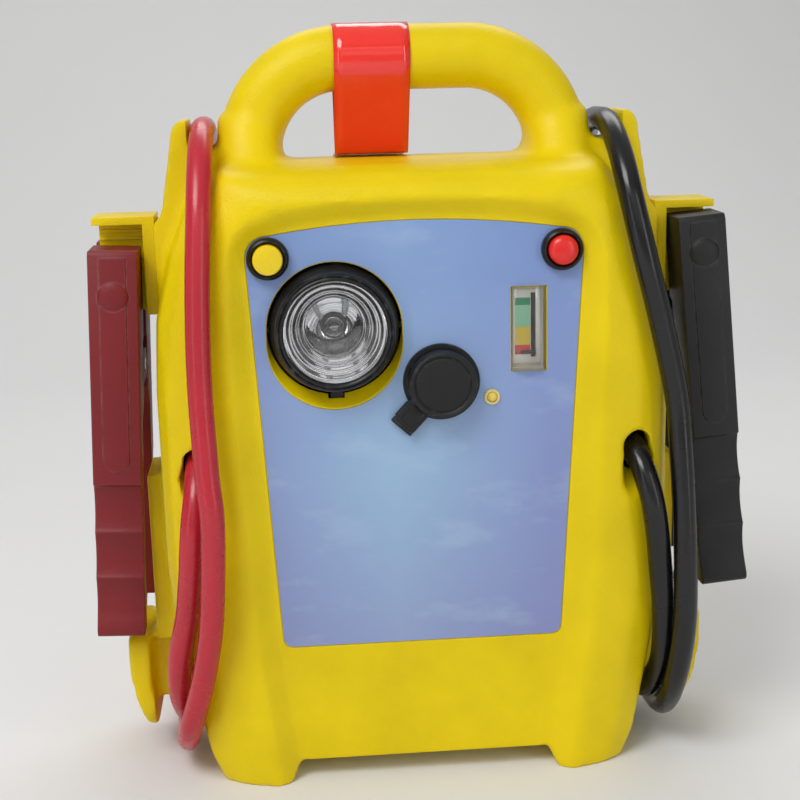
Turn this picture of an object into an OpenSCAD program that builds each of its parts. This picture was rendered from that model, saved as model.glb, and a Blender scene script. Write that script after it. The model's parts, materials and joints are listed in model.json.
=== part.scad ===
// Jump starter pack: a carrying case with a battery, a tilting lamp, a meter,
// a 12 V outlet and two cables with clamps that hang on side brackets.
// Millimetres, +Z up, front towards -Y, origin at the middle of the base.

/* [Body] */
// Height of the pack over its handle
pack_h = 365; // [355:1:375]
// Plane of the label, in front of the seam
label_y = 49; // [46:0.5:52]
// How far the side pillars stand proud of the label
pillar_rise = 7; // [4:0.5:9]
// Rear face, behind the seam
rear_y = 60; // [57:0.5:64]
// Wall of the two moulded shells
wall = 3; // [2:0.25:4]
// Half width of the body at its middle
body_half_w = 122; // [120:0.5:124]
// How far the feet stand in from the flanks
foot_inset = 20; // [16:1:26]
// Height of the shoulders under the handle
shoulder_z = 302; // [299:0.5:303]
// Height of the arch between the feet
arch_h = 10; // [6:1:12]
// Half width of the arch between the feet
arch_half_w = 68; // [60:1:76]

/* [Handle] */
// Diameter of the grip
grip_d = 31; // [29:0.5:32]
// How far the outside of the handle stands in from the flanks
handle_inset = 32; // [30:0.5:34]
// Outer corner radius of the handle
handle_r = 60; // [57:1:62]

/* [Cable reels] */
// Height of the notch floor that the cable lies over
notch_z = 309; // [306:0.5:309.5]
// Width of the notch
notch_w = 14; // [13.5:0.25:15]
// Height of the wing that keeps the cable in its notch
wing_top = 322.5; // [318:0.5:326]
// Half depth of the wing
wing_half_d = 18; // [16:1:20]
// How far the lower lips reach out past the flanks
ear_reach = 24.5; // [22:0.5:26]
// Thickness of each lower lip
ear_t = 11; // [8:0.5:12]
// Half depth of each lower lip
ear_half_d = 24.5; // [20:0.5:25]
// Lowest point of each lower lip
ear_bottom = 18; // [16:0.5:24]
// Highest point of each lower lip
ear_top = 69.5; // [64:0.5:70.5]
// Underside of the core that the cable passes under
core_bottom = 32; // [31.5:0.5:36]
// Half depth of the core
core_half_d = 13; // [10:0.5:14]
// Top of the core, where the wider web above it starts
core_top = 73; // [72:0.5:78]
// How far the webs above the cores reach out past the flanks
web_reach = 10.3; // [6:0.1:10.5]
// Half depth of those webs
web_half_d = 18; // [14:0.5:19]
// Upper end of those webs
web_top = 152; // [140:1:160]

/* [Label] */
// Half width of the label at its foot
label_foot_half_w = 68.5; // [66:0.5:70]
// Lower edge of the label
label_z0 = 70.5; // [66:0.5:76]
// Top of the label at its middle
label_z1 = 277; // [275.5:0.5:278]
// Thickness of the label film
label_t = 0.5; // [0.3:0.1:0.6]
// Depth of the shallow seat that the label lies in
label_sink = 0.6; // [0.6:0.1:1]
// Width of the slope from the panel up to the crest of each pillar
slope_w = 10; // [7:0.5:11]

/* [Lamp] */
// Sideways place of the lamp
lamp_x = -38.5; // [-39:0.5:-36.5]
// Height of the lamp pivot
lamp_z = 227; // [226:0.5:229]
// Radius of the round lamp housing
lamp_r = 30.6; // [29:0.2:31]
// Gap round the lamp housing in its opening
lamp_gap = 0.9; // [0.6:0.1:1.2]
// Radius of the lamp lens
lens_r = 24.6; // [22:0.2:25]
// Radius of the lamp pivot pins
lamp_pin_r = 2.5; // [2:0.1:3]

/* [Push switches] */
// Sideways place of both switches
switch_x = 68; // [66:0.5:68.5]
// Height of both switches
switch_z = 261; // [259:0.5:262]
// Radius of the switch bezels
switch_bezel_r = 9.8; // [9:0.1:10.2]
// Radius of the switch buttons
button_r = 6.9; // [6:0.1:7.2]
// Travel of the buttons
button_travel = 2; // [1:0.25:2.5]

/* [Meter] */
// Sideways place of the meter
gauge_x = 52.5; // [50:0.5:54]
// Height of the middle of the meter
gauge_z = 224; // [221:0.5:226]
// Width of the meter window
gauge_w = 16.6; // [15:0.2:18]
// Height of the meter window
gauge_h = 40; // [38:0.5:42]
// Sideways place of the charging light
led_x = 34.8; // [33:0.2:38]
// Height of the charging light
led_z = 192; // [190:0.5:194]

/* [Outlet] */
// Sideways place of the 12 V outlet
outlet_x = 10.8; // [10:0.2:12]
// Height of the 12 V outlet
outlet_z = 200.5; // [199:0.5:201.5]
// Radius of the outlet bore
outlet_bore_r = 10.45; // [10.4:0.05:10.6]
// Depth of the outlet bore
outlet_depth = 38; // [36:0.5:40]
// Radius of the rubber cap
cap_r = 16; // [15.5:0.1:16.2]
// Direction of the cap strap, from +X towards +Z
strap_angle = 227; // [222:1:232]

/* [Brackets] */
// How far each bracket shelf reaches out past the flanks
shelf_reach = 28.8; // [27.5:0.1:30]
// Half depth of each bracket
bracket_half_d = 13; // [12:0.5:16]
// Thickness of each bracket shelf
shelf_t = 3.6; // [3:0.1:4.5]
// Underside of each bracket shelf
shelf_z = 274.6; // [274.5:0.1:276]
// Lower end of each bracket
bracket_z0 = 231; // [229:0.5:232]
// Thickness of the plate that the jaws bite on
bite_t = 4.3; // [3.5:0.1:4.3]

/* [Clamps] */
// Width of each clamp
clamp_w = 23; // [22:0.25:23.2]
// Length of the clamp above its pivot
jaw_len = 57; // [54:0.5:57.5]
// Length of the clamp below its pivot
grip_len = 130; // [126:0.5:130.5]
// Half depth of the closed clamp at its top
clamp_half_d = 31; // [29:0.5:32]
// Half depth of the closed clamp at the end of its grips
grip_half_d = 38; // [37:0.25:38.5]
// Thickness of a grip at its end
grip_t = 14; // [13:0.25:14]
// Radius of the clamp pivot pin
pivot_r = 3; // [2.5:0.1:3.2]

/* [Cables] */
// Diameter of the jump cables
cable_d = 11.5; // [11:0.25:11.5]
// Diameter of the leads inside the case
lead_d = 8; // [6:0.25:8]

/* [Battery] */
// Width of the battery
battery_w = 181; // [178:1:183]
// Depth of the battery
battery_d = 76; // [74:0.5:77]
// Height of the battery
battery_h = 166; // [164:0.5:167]

/* [Hidden] */

$fn = 64;
hull_fn = 32;
eps = 0.01;
// Gap between pieces of one body that sit against each other
seat = 0.3;
// Radial clearance of a pin that turns in its bore
running = 0.06;
// Radial clearance of a screw in its hole
screw_gap = 0.05;

yellow = [0.95, 0.80, 0.05];
charcoal = [0.13, 0.13, 0.14];
dull_red = [0.50, 0.13, 0.14];
cable_red = [0.78, 0.13, 0.18];
steel = [0.72, 0.73, 0.75];
copper = [0.72, 0.45, 0.28];

// ---- Planes that the pieces share ----
pillar_y = label_y + pillar_rise;
panel_inner_y = label_y - wall;
label_face_y = label_y + label_t;
panel_y = label_y + label_sink;
side_y = 22;
foot_half_w = body_half_w - foot_inset;
handle_half_w = body_half_w - handle_inset;
ear_half_w = body_half_w + ear_reach;
web_half_w = body_half_w + web_reach;
shelf_end = body_half_w + shelf_reach;
shoulder_half_w = handle_half_w + 13;
wing_in = handle_half_w - 1 + notch_w;
wing_out = body_half_w - 0.5;
ear_in = ear_half_w - ear_t;

// Moves a child drawn along +Z so that it runs towards -Y from the front plane y
module facing(x, y, z) translate([x, -y, z]) rotate([90, 0, 0]) children();

// A block given by its low and its high corner
module block(a, b) translate(a) cube(b - a);

// Both sides of the pack
module both_sides() {
  children();
  mirror([1, 0, 0]) children();
}

// ---------------------------------------------------------------- Housing
// Outlines of the body, drawn in XZ; i is how far inside it lies. The first is its flank
function body_outline(i) = [
  [foot_half_w - i, i], [foot_half_w + 5 - i, 14], [foot_half_w + 8 - i, 34], [body_half_w - 1.5 - i, 76],
  [body_half_w - i, 110], [body_half_w - i, 195], [wing_out - eps - i, bracket_z0 - 1],
  [body_half_w - 7 - i, shoulder_z - 42], [shoulder_half_w + 1 - i, shoulder_z - 15],
  [handle_half_w - i, shoulder_z - i]
];
// The edge where the flank turns into the face
function face_outline(i) = [
  [foot_half_w - 2 - i, i], [foot_half_w + 4 - i, 14], [foot_half_w + 7 - i, 34], [body_half_w - 5.5 - i, 76],
  [body_half_w - 4 - i, 110], [body_half_w - 4 - i, 195], [body_half_w - 9 - i, bracket_z0 - 1],
  [body_half_w - 16 - i, shoulder_z - 43], [shoulder_half_w - 5 - i, shoulder_z - 19],
  [handle_half_w - 4 - i, shoulder_z - 4 - i]
];
// The crest of the pillars and of the bar that joins them over the label
function crest_outline(i) = [
  [foot_half_w - 26 - i, i], [foot_half_w - 24 - i, 14], [foot_half_w - 21 - i, 34], [handle_half_w - 5 - i, 76],
  [handle_half_w - 3 - i, 110], [handle_half_w - 2 - i, 195], [handle_half_w - 2 - i, bracket_z0 - 1],
  [handle_half_w - 5 - i, shoulder_z - 46], [handle_half_w - 13 - i, shoulder_z - 29],
  [handle_half_w - 29 - i, shoulder_z - crest_drop - i]
];
crest_drop = 16;
function reflect(p) = [for (k = [len(p) - 1:-1:0]) [-p[k][0], p[k][1]]];

module upright(y0, y1, points)
  translate([0, max(y0, y1), 0]) rotate([90, 0, 0])
    linear_extrude(abs(y1 - y0)) polygon(concat(points, reflect(points)));

// The trunk of one half: s is -1 in front and 1 behind, i is the inset
module trunk(s, i, face) {
  flank_y = side_y - i / 2;
  edge_y = face - (s < 0 ? edge_fall : rear_edge_fall);
  upright(0, s * flank_y, body_outline(i));
  hull() {
    trunk_plate(s, flank_y, body_outline(i));
    trunk_plate(s, flank_y + 0.55 * (edge_y - flank_y), 0.8 * body_outline(i) + 0.2 * face_outline(i));
    trunk_plate(s, edge_y, face_outline(i));
    trunk_plate(s, edge_y + 0.6 * (face - edge_y), 0.6 * face_outline(i) + 0.4 * crest_outline(i));
    trunk_plate(s, face, crest_outline(i));
  }
}
module trunk_plate(s, y, points) upright(s * (y - eps), s * y, points);
// How far behind the crest the edge of the face lies, in front and at the rear
edge_fall = 11;
rear_edge_fall = 22;

// One half of a round bar along the handle, r is its radius
module handle_bar(s, r) {
  mid_z = pack_h - grip_d / 2;
  mid_x = handle_half_w - grip_d / 2;
  bend = handle_r - grip_d / 2;
  half_space = [2 * handle_half_w, grip_d, pack_h];
  intersection() {
    union() {
      translate([bend - mid_x, 0, mid_z]) rotate([0, 90, 0]) cylinder(r = r, h = 2 * (mid_x - bend));
      both_sides() {
        translate([mid_x - bend, 0, mid_z - bend]) rotate([90, 0, 0])
          rotate_extrude(angle = 90) translate([bend, 0]) circle(r);
        translate([mid_x, 0, shoulder_z - 24]) cylinder(r = r, h = mid_z - bend - shoulder_z + 24);
      }
    }
    translate([-handle_half_w, s < 0 ? -grip_d : 0, 0]) cube(half_space);
  }
}

// The foot of the handle leans forward into the pillar below it
foot_r = 15;
module handle_foot(s, face) {
  mid_x = handle_half_w - grip_d / 2;
  both_sides() intersection() {
    hull() {
      translate([mid_x, 0, shoulder_z + 22]) cylinder(r = grip_d / 2 - 0.2, h = 1, $fn = hull_fn);
      translate([mid_x, 0, shoulder_z - 34]) cylinder(r = foot_r, h = 1, $fn = hull_fn);
      translate([mid_x, s * (face - foot_r - 2), shoulder_z - 44]) sphere(foot_r, $fn = hull_fn);
    }
    block([0, min(0, s * rear_y), 0], [handle_half_w + foot_r, max(0, s * rear_y), pack_h]);
  }
}

// Wing, notch floor, web and core on one side of one half
core_in = body_half_w - 22;
module reel_side(s, i) {
  flank = wing_out - 1.2 * i;
  root = handle_half_w - 12 + 5 * i;
  tip = wing_top - 3 - 3 * i;
  wing = concat(
    [[root, bracket_z0 - 4], [flank, bracket_z0 - 4], [flank, shelf_z]],
    [[wing_out - 4 - i, shelf_z + shelf_t + 1], [wing_out - 11 - i, tip]],
    i == 0 ? [[wing_out - 14, wing_top], [wing_in, wing_top]] : [[wing_in + i, tip]],
    [[wing_in + i, notch_z - i], [root, notch_z - i]]
  );
  d = wing_half_d - i;
  translate([0, s < 0 ? 0 : d, 0]) rotate([90, 0, 0]) linear_extrude(d) polygon(wing);
  c = core_half_d - i;
  block([core_in, min(0, s * c), core_bottom + i], [ear_in + eps - i, max(0, s * c), core_top + eps]);
  w = web_half_d - i;
  block([core_in, min(0, s * w), core_top + i], [web_half_w - i, max(0, s * w), web_top - i]);
}

// Lower lip: a plate with round lower corners that leans in at its foot, across the seam
module ear_plate(s) {
  r = 13;
  intersection() {
    translate([ear_in - 2, 0, 0]) rotate([90, 0, 90]) linear_extrude(ear_t + 2) union() {
      translate([-ear_half_d, ear_bottom + r]) square([2 * ear_half_d, ear_top - ear_bottom - r - 3]);
      translate([r - ear_half_d, ear_bottom]) square([2 * ear_half_d - 2 * r, ear_top - ear_bottom]);
      for (k = [-1, 1]) translate([k * (ear_half_d - r), ear_bottom + r]) circle(r);
    }
    translate([0, s < 0 ? 0 : ear_half_d, 0]) rotate([90, 0, 0]) linear_extrude(ear_half_d) polygon([
      [ear_in, ear_top], [ear_half_w, ear_top], [ear_half_w, ear_bottom + 33], [ear_half_w - 2.5, ear_bottom + 18],
      [ear_half_w - 5, ear_bottom + 9], [ear_half_w - 8.5, ear_bottom], [ear_in - 2, ear_bottom], [ear_in, ear_bottom + 30]
    ]);
  }
}

// Round bosses with a hole, which the shell screws join
boss_r = 6;
screw_r = 2;
screw_head_r = 3.6;
boss_at = [[foot_half_w - 4, 38], [body_half_w - 18, 122], [body_half_w - 18, 214], [26, 288]];
module at_bosses() for (p = boss_at) both_sides() translate([p[0], 0, p[1]]) children();

module shell_half(s, face, inner) {
  difference() {
    union() {
      difference() {
        union() {
          trunk(s, 0, face);
          handle_bar(s, grip_d / 2);
          handle_foot(s, face);
          both_sides() {
            reel_side(s, 0);
            ear_plate(s);
          }
        }
        difference() {
          union() {
            trunk(s, wall, inner);
            both_sides() reel_side(s, wall);
          }
          upright(-rear_y, rear_y, [[arch_half_w + wall, -eps], [arch_half_w - 6 + wall, arch_h + wall]]);
        }
        handle_bar(s, grip_d / 2 - wall);
      }
      intersection() {
        at_bosses() rotate([-90 * s, 0, 0])
          translate([0, 0, seat / 2]) cylinder(r = boss_r, h = inner);
        trunk(s, wall / 2, face - wall / 2);
      }
    }
    upright(-rear_y - 1, rear_y + 1, [[arch_half_w, -1], [arch_half_w - 6, arch_h]]);
    children();
  }
}

// Outline of the label; c is how far inside the recess it lies
module label_outline(c) {
  r = switch_bezel_r + 0.8 - c;
  foot = label_foot_half_w - c;
  z0 = label_z0 + c;
  rise = label_z1 - c - switch_z - r;
  polygon(concat(
    corner_arc(foot, z0, 270),
    [for (a = [0:10:80]) [switch_x + r * cos(a), switch_z + r * sin(a)]],
    [for (k = [5:-1:-5]) [k * switch_x / 5, switch_z + r + rise * (1 - k * k / 25)]],
    [for (a = [100:10:180]) [-switch_x + r * cos(a), switch_z + r * sin(a)]],
    corner_arc(foot, z0, 180)
  ));
}
// Lower corner of the label, from the angle a0 on: the right one from 270, the left one from 180
label_corner_r = 4.5;
function corner_arc(foot, z0, a0) = let (r = label_corner_r, k = a0 == 180 ? -1 : 1)
  [for (a = [a0:15:a0 + 90]) [k * (foot - r) + r * cos(a), z0 + r + r * sin(a)]];

// Outline of the sunk panel, c inside its edge; it runs on past the label to the arch
module panel_outline(c) {
  r = switch_bezel_r + 1.8 - c;
  rise = label_z1 + 1.5 - c - switch_z - r;
  polygon(concat(
    [[c - panel_foot_half_w, -2], [panel_foot_half_w - c, -2], [66 - c, 43], [label_foot_half_w + 2 - c, label_z0]],
    [for (a = [0:10:80]) [switch_x + r * cos(a), switch_z + r * sin(a)]],
    [for (k = [5:-1:-5]) [k * switch_x / 5, switch_z + r + rise * (1 - k * k / 25)]],
    [for (a = [100:10:180]) [-switch_x + r * cos(a), switch_z + r * sin(a)]],
    [[c - label_foot_half_w - 2, label_z0], [c - 66, 43]]
  ));
}
panel_foot_half_w = 61;
// The panel with its sloping edge, cut down from the crest of the pillars
module panel_hollow() {
  over = pillar_y + 1;
  grown = slope_w * (over - panel_y) / (pillar_y - panel_y);
  hull() {
    facing(0, panel_y, 0) linear_extrude(eps) panel_outline(0);
    facing(0, over, 0) linear_extrude(eps) panel_outline(-grown);
  }
}

// Openings through the front panel, each grown by g
module panel_openings(g) {
  r = lamp_r + lamp_gap + g;
  translate([lamp_x, lamp_z]) circle(r);
  translate([lamp_x, lamp_z - 6.4]) circle(r);
  translate([lamp_x - r, lamp_z - 6.4]) square([2 * r, 6.4]);
  for (k = [-1, 1]) translate([k * switch_x, switch_z]) circle(button_r + 1.3 + g);
  translate([gauge_x - gauge_w / 2 - g, gauge_z - gauge_h / 2 - g])
    square([gauge_w + 2 * g, gauge_h + 2 * g]);
  translate([led_x, led_z]) circle(led_body_r + 0.1 + g);
  translate([outlet_x, outlet_z]) circle(outlet_body_r + 0.3 + g);
}

// Hole in the face that the jump cable comes out of
cable_hole = [body_half_w - 17, 164];
hole_rise = 1.5;
// Steps of the groove that leads down from the hole: out, forward, up, tilt and added radius of each
groove = [[0.2, 34, -0.6, 22, 0.4], [1, 43, -4, 46, 0.9]];
module cable_slot() {
  r = cable_d / 2 + 1.3;
  x = cable_hole[0];
  z = cable_hole[1];
  for (dz = [0, hole_rise]) facing(x, 30, z + dz) cylinder(r = r, h = 34);
  block([x - r, -64, z], [x + r, -30, z + hole_rise]);
  for (g = groove) facing(x + g[0], g[1], z + g[2]) rotate([g[3], 7, 0]) cylinder(r = r + g[4], h = 24);
}

module front_shell() {
  color(yellow) shell_half(-1, pillar_y, panel_inner_y) {
    panel_hollow();
    facing(0, label_y, 0) linear_extrude(pillar_rise) label_outline(0);
    facing(0, panel_inner_y - 2, 0) linear_extrude(wall + 3) panel_openings(0);
    both_sides() cable_slot();
    at_bosses() facing(0, 20, 0) translate([0, 0, -21]) cylinder(r = screw_r + screw_gap, h = 21);
    bracket_pilot_holes();
  }
}

module rear_shell() {
  color(yellow) shell_half(1, rear_y, rear_y - wall) {
    at_bosses() rotate([-90, 0, 0]) {
      translate([0, 0, -1]) cylinder(r = screw_r + screw_gap, h = rear_y);
      translate([0, 0, screw_seat]) cylinder(r = screw_head_r + 0.4, h = rear_y);
    }
    translate([jack_x, 0, jack_z]) rotate([-90, 0, 0]) cylinder(r = jack_r + 0.1, h = rear_y + 1);
    bracket_pilot_holes();
  }
}

screw_seat = 30;
module shell_screws() {
  color(steel) at_bosses() rotate([-90, 0, 0]) {
    translate([0, 0, -18]) cylinder(r = screw_r, h = screw_seat + 18);
    difference() {
      translate([0, 0, screw_seat]) cylinder(r = screw_head_r, h = 2.6);
      translate([-0.6, -2.5, screw_seat + 1.6]) cube([1.2, 5, 2]);
      translate([-2.5, -0.6, screw_seat + 1.6]) cube([5, 1.2, 2]);
    }
  }
}

module front_label() {
  color([0.55, 0.63, 0.86]) difference() {
    facing(0, label_y, 0) linear_extrude(label_t) label_outline(0.4);
    facing(0, label_y - 1, 0) linear_extrude(label_t + 2) panel_openings(0.4);
  }
}

// Film loop hung over the grip, with its joined tail behind the shoulders
tag_x0 = -33.5;
tag_w = 36;
tag_t = 0.5;
module handle_tag() {
  grip_z = pack_h - grip_d / 2;
  color([0.9, 0.15, 0.12]) translate([tag_x0, 0, 0]) rotate([90, 0, 90]) linear_extrude(tag_w) {
    difference() {
      tag_loop(grip_z, seat + tag_t);
      tag_loop(grip_z, seat);
    }
    polygon(concat(tail_line(tag_t), [for (k = [len(tail_drop) - 1:-1:0]) tail_line(0)[k]]));
  }
}
// Line of the tail over the rear shoulder, drawn in YZ as drops from its top; t is above the gap it keeps
tail_drop = [[7, -0.5], [14, -0.5], [side_y, -0.5], [30.8, 0.4], [38, 3.5]];
function tail_line(t) = [for (p = tail_drop) [p[0], shoulder_z - p[1] + seat + t]];
module tag_loop(grip_z, g) hull() {
  translate([0, grip_z]) circle(grip_d / 2 + g, $fn = hull_fn * 2);
  translate([7, shoulder_z + 3]) circle(0.6 + g, $fn = hull_fn);
}

// ---------------------------------------------------------------- Brackets
bracket_web_t = 5.7;
web_x = wing_out + bracket_web_t;
bracket_screw_r = 1.75;
bracket_screw_at = [for (k = [-1, 1], z = [240, 266]) [6 * k, z]];
module at_bracket_screws() for (p = bracket_screw_at) translate([0, p[0], p[1]]) rotate([0, 90, 0]) children();
module bracket_pilot_holes() both_sides() at_bracket_screws()
  translate([0, 0, wing_out - 9]) cylinder(r = bracket_screw_r + screw_gap, h = 10);

module bracket() {
  color(yellow) difference() {
    union() {
      block([wing_out, -bracket_half_d, bracket_z0], [web_x, bracket_half_d, shelf_z]);
      block([wing_out, -bracket_half_d, shelf_z], [shelf_end, bracket_half_d, shelf_z + shelf_t]);
      block([web_x, -bite_t / 2, bracket_z0 + 1], [shelf_end - 2, bite_t / 2, shelf_z]);
    }
    at_bracket_screws() {
      translate([0, 0, wing_out - 1]) cylinder(r = bracket_screw_r + screw_gap, h = 12);
      translate([0, 0, web_x - 2]) cylinder(r = 3.4, h = 4);
    }
  }
}
module right_bracket() bracket();
module left_bracket() mirror([1, 0, 0]) bracket();
module bracket_screws() color(steel) both_sides() at_bracket_screws() {
  translate([0, 0, wing_out - 8]) cylinder(r = bracket_screw_r, h = web_x - wing_out + 6.5);
  translate([0, 0, web_x - 2]) cylinder(r = 3, h = 1.7);
}

// ---------------------------------------------------------------- Lamp
lamp_y = 42;
lamp_front = 18;
lamp_rear = 20;
lamp_wall = 2.2;
lens_t = 1.4;
bulb_holder_r = 8;
module in_lamp() translate([lamp_x, -lamp_y, lamp_z]) rotate([90, 0, 0]) children();

module lamp_housing() {
  color(charcoal) in_lamp() {
    difference() {
      intersection() {
        sphere(lamp_r);
        translate([-lamp_r, -lamp_r, -lamp_rear]) cube([2 * lamp_r, 2 * lamp_r, lamp_rear + lamp_front]);
      }
      intersection() {
        sphere(lamp_r - lamp_wall);
        translate([-lamp_r, -lamp_r, -lamp_rear + lamp_wall])
          cube([2 * lamp_r, 2 * lamp_r, lamp_rear + lamp_front - 2 * lamp_wall - lens_t]);
      }
      translate([0, 0, lamp_front - lens_t]) cylinder(r = lens_r + 0.1, h = lens_t + 1);
      cylinder(r = lens_r - 1.2, h = lamp_front);
      translate([0, 0, -lamp_rear - 1]) cylinder(r = bulb_holder_r + 0.1, h = 5);
    }
    for (k = [-1, 1]) translate([k * (lamp_r - 0.6), 0, 0]) rotate([0, 90 * k, 0]) cylinder(r = lamp_pin_r, h = 5.4);
    translate([-5, -lamp_r - 3, 8]) cube([10, 5, 5]);
  }
}

module lamp_lens()
  color([0.85, 0.9, 0.95, 0.4]) in_lamp() translate([0, 0, lamp_front - lens_t]) cylinder(r = lens_r, h = lens_t - 0.2);

reflector_t = 0.8;
reflector_deep = 22;
function bowl(r) = -reflector_deep * (1 - (r * r) / (lens_r * lens_r));
module lamp_reflector() {
  rim = lens_r - 1.5;
  hole = 6.5;
  steps = 12;
  inner = [for (k = [0:steps]) let (r = hole + (rim - hole) * k / steps) [r, bowl(r)]];
  outer = [for (k = [steps:-1:0]) let (r = hole + (rim - hole) * k / steps) [r, bowl(r) - reflector_t]];
  color([0.9, 0.9, 0.92]) in_lamp() translate([0, 0, lamp_front - lens_t - seat])
    rotate_extrude() polygon(concat(inner, outer));
}

module lamp_bulb() color([0.9, 0.9, 0.85, 0.6]) in_lamp() {
  translate([0, 0, -1]) sphere(5);
  translate([0, 0, -16.7]) cylinder(r = 3, h = 12.7);
}

module bulb_holder() color([0.8, 0.8, 0.76]) in_lamp() difference() {
  translate([0, 0, -lamp_rear - 12]) cylinder(r = bulb_holder_r, h = lamp_rear + 12 - 13);
  translate([0, 0, -17]) cylinder(r = 3.1, h = 6);
}

module lamp_cradle() color(charcoal) difference() {
  for (k = [-1, 1]) {
    x0 = lamp_x + k * (lamp_r + 1.6);
    x1 = lamp_x + k * (lamp_r + 6.6);
    block([min(x0, x1), -panel_inner_y, lamp_z - 14], [max(x0, x1), -lamp_y + 7, lamp_z + 14]);
  }
  translate([lamp_x - lamp_r - 10, -lamp_y, lamp_z]) rotate([0, 90, 0])
    cylinder(r = lamp_pin_r + running, h = 2 * lamp_r + 20);
}

// ---------------------------------------------------------------- Push switches
bezel_t = 4.5;
button_out = 8.5;
module switch_bezel() color(charcoal) facing(0, label_face_y, 0) difference() {
  cylinder(r1 = switch_bezel_r, r2 = switch_bezel_r - 1.2, h = bezel_t);
  translate([0, 0, -1]) cylinder(r = button_r + 0.4, h = bezel_t + 2);
}
module switch_button(tint) color(tint) facing(0, label_y, 0) {
  translate([0, 0, -5]) cylinder(r = button_r, h = 5 + button_out - 1);
  translate([0, 0, button_out - 1]) cylinder(r1 = button_r, r2 = button_r - 1, h = 1);
}
module switch_body() color(charcoal) facing(0, label_y, 0) difference() {
  union() {
    translate([0, 0, -wall - 16]) cylinder(r = button_r + 3, h = 16 - seat);
    translate([0, 0, -wall - 1]) cylinder(r = button_r + 1.1, h = wall + 1 + label_t);
  }
  translate([0, 0, -5 - button_travel - 0.5]) cylinder(r = button_r + 0.4, h = 20);
}
module light_switch_bezel() translate([-switch_x, 0, switch_z]) switch_bezel();
module light_switch_button() translate([-switch_x, 0, switch_z]) switch_button([0.98, 0.82, 0.1]);
module light_switch_body() translate([-switch_x, 0, switch_z]) switch_body();
module status_switch_bezel() translate([switch_x, 0, switch_z]) switch_bezel();
module status_switch_button() translate([switch_x, 0, switch_z]) switch_button([0.92, 0.12, 0.1]);
module status_switch_body() translate([switch_x, 0, switch_z]) switch_body();

// ---------------------------------------------------------------- Meter
gauge_pivot_y = 8;
gauge_arm = 36;
gauge_swing = 21.5;
gauge_wall = 1.2;
card_y = 39.1;
module gauge_case() {
  w = gauge_w / 2 - 0.2;
  h = gauge_h / 2 - 0.2;
  color([0.9, 0.88, 0.8]) translate([gauge_x, 0, gauge_z]) difference() {
    union() {
      block([-w, -label_y + 1.6, -h], [w, -2, h]);
      block([-w - 3, -panel_inner_y + seat, -h - 3], [w + 3, -panel_inner_y + 3, h + 3]);
    }
    block([-w + gauge_wall, -label_y, -h + gauge_wall], [w - gauge_wall, -2 - gauge_wall, h - gauge_wall]);
    translate([-w - 1, -gauge_pivot_y, 0]) rotate([0, 90, 0]) cylinder(r = 1 + running, h = gauge_w + 2);
  }
}
module gauge_card() {
  w = gauge_w / 2 - 0.2 - gauge_wall - 0.1;
  h = gauge_h / 2 - 0.2 - gauge_wall - 0.1;
  color([0.95, 0.95, 0.92]) translate([gauge_x, 0, gauge_z])
    block([-w, -card_y - 0.8, -h], [1.2, -card_y, h]);
}
module gauge_needle() {
  w = gauge_w / 2 - 0.2;
  color([0.85, 0.3, 0.1]) translate([gauge_x, -gauge_pivot_y, gauge_z]) rotate([gauge_swing, 0, 0]) {
    translate([-w, 0, 0]) rotate([0, 90, 0]) cylinder(r = 1, h = 2 * w);
    translate([3, -gauge_arm, -0.6]) cube([1.6, gauge_arm, 1.2]);
    translate([-2.4, -gauge_arm, -0.6]) cube([7, 1, 1.2]);
  }
}
module gauge_window() {
  w = gauge_w / 2 - 0.15;
  h = gauge_h / 2 - 0.15;
  bulge = 14;
  front = label_y + 3;
  color([0.85, 0.92, 0.9, 0.35]) translate([gauge_x, 0, gauge_z]) intersection() {
    difference() {
      translate([0, bulge - front, -h]) cylinder(r = bulge, h = 2 * h);
      translate([0, bulge - front, -h + gauge_wall]) cylinder(r = bulge - gauge_wall, h = 2 * h - 2 * gauge_wall);
    }
    block([-w, -front - 1, -h], [w, -label_y + 1.5, h]);
  }
}
led_body_r = 3;
module led_bezel() color([0.93, 0.85, 0.4]) facing(led_x, label_face_y, led_z) difference() {
  union() {
    cylinder(r = led_body_r + 0.6, h = 1.2);
    translate([0, 0, -7]) cylinder(r = led_body_r, h = 7);
  }
  translate([0, 0, -8]) cylinder(r = 2.6, h = 10);
}
module led_lens() color([0.95, 0.85, 0.5]) facing(led_x, label_face_y, led_z) {
  translate([0, 0, -8]) cylinder(r = 2.5, h = 8);
  intersection() {
    sphere(2.5);
    translate([-3, -3, -eps]) cube([6, 6, 3]);
  }
}

// ---------------------------------------------------------------- Outlet
outlet_body_r = outlet_bore_r + 2;
outlet_mouth_y = label_face_y + 2.2;
outlet_flange_r = 15.8;
outlet_floor = 2.5;
module outlet_barrel() color(charcoal) facing(outlet_x, outlet_mouth_y, outlet_z) difference() {
  union() {
    translate([0, 0, -outlet_depth]) cylinder(r = outlet_body_r, h = outlet_depth);
    translate([0, 0, -2.2]) cylinder(r = outlet_flange_r, h = 2.2);
  }
  translate([0, 0, -outlet_depth - 1]) cylinder(r = outlet_bore_r, h = outlet_depth + 2);
}
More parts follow.
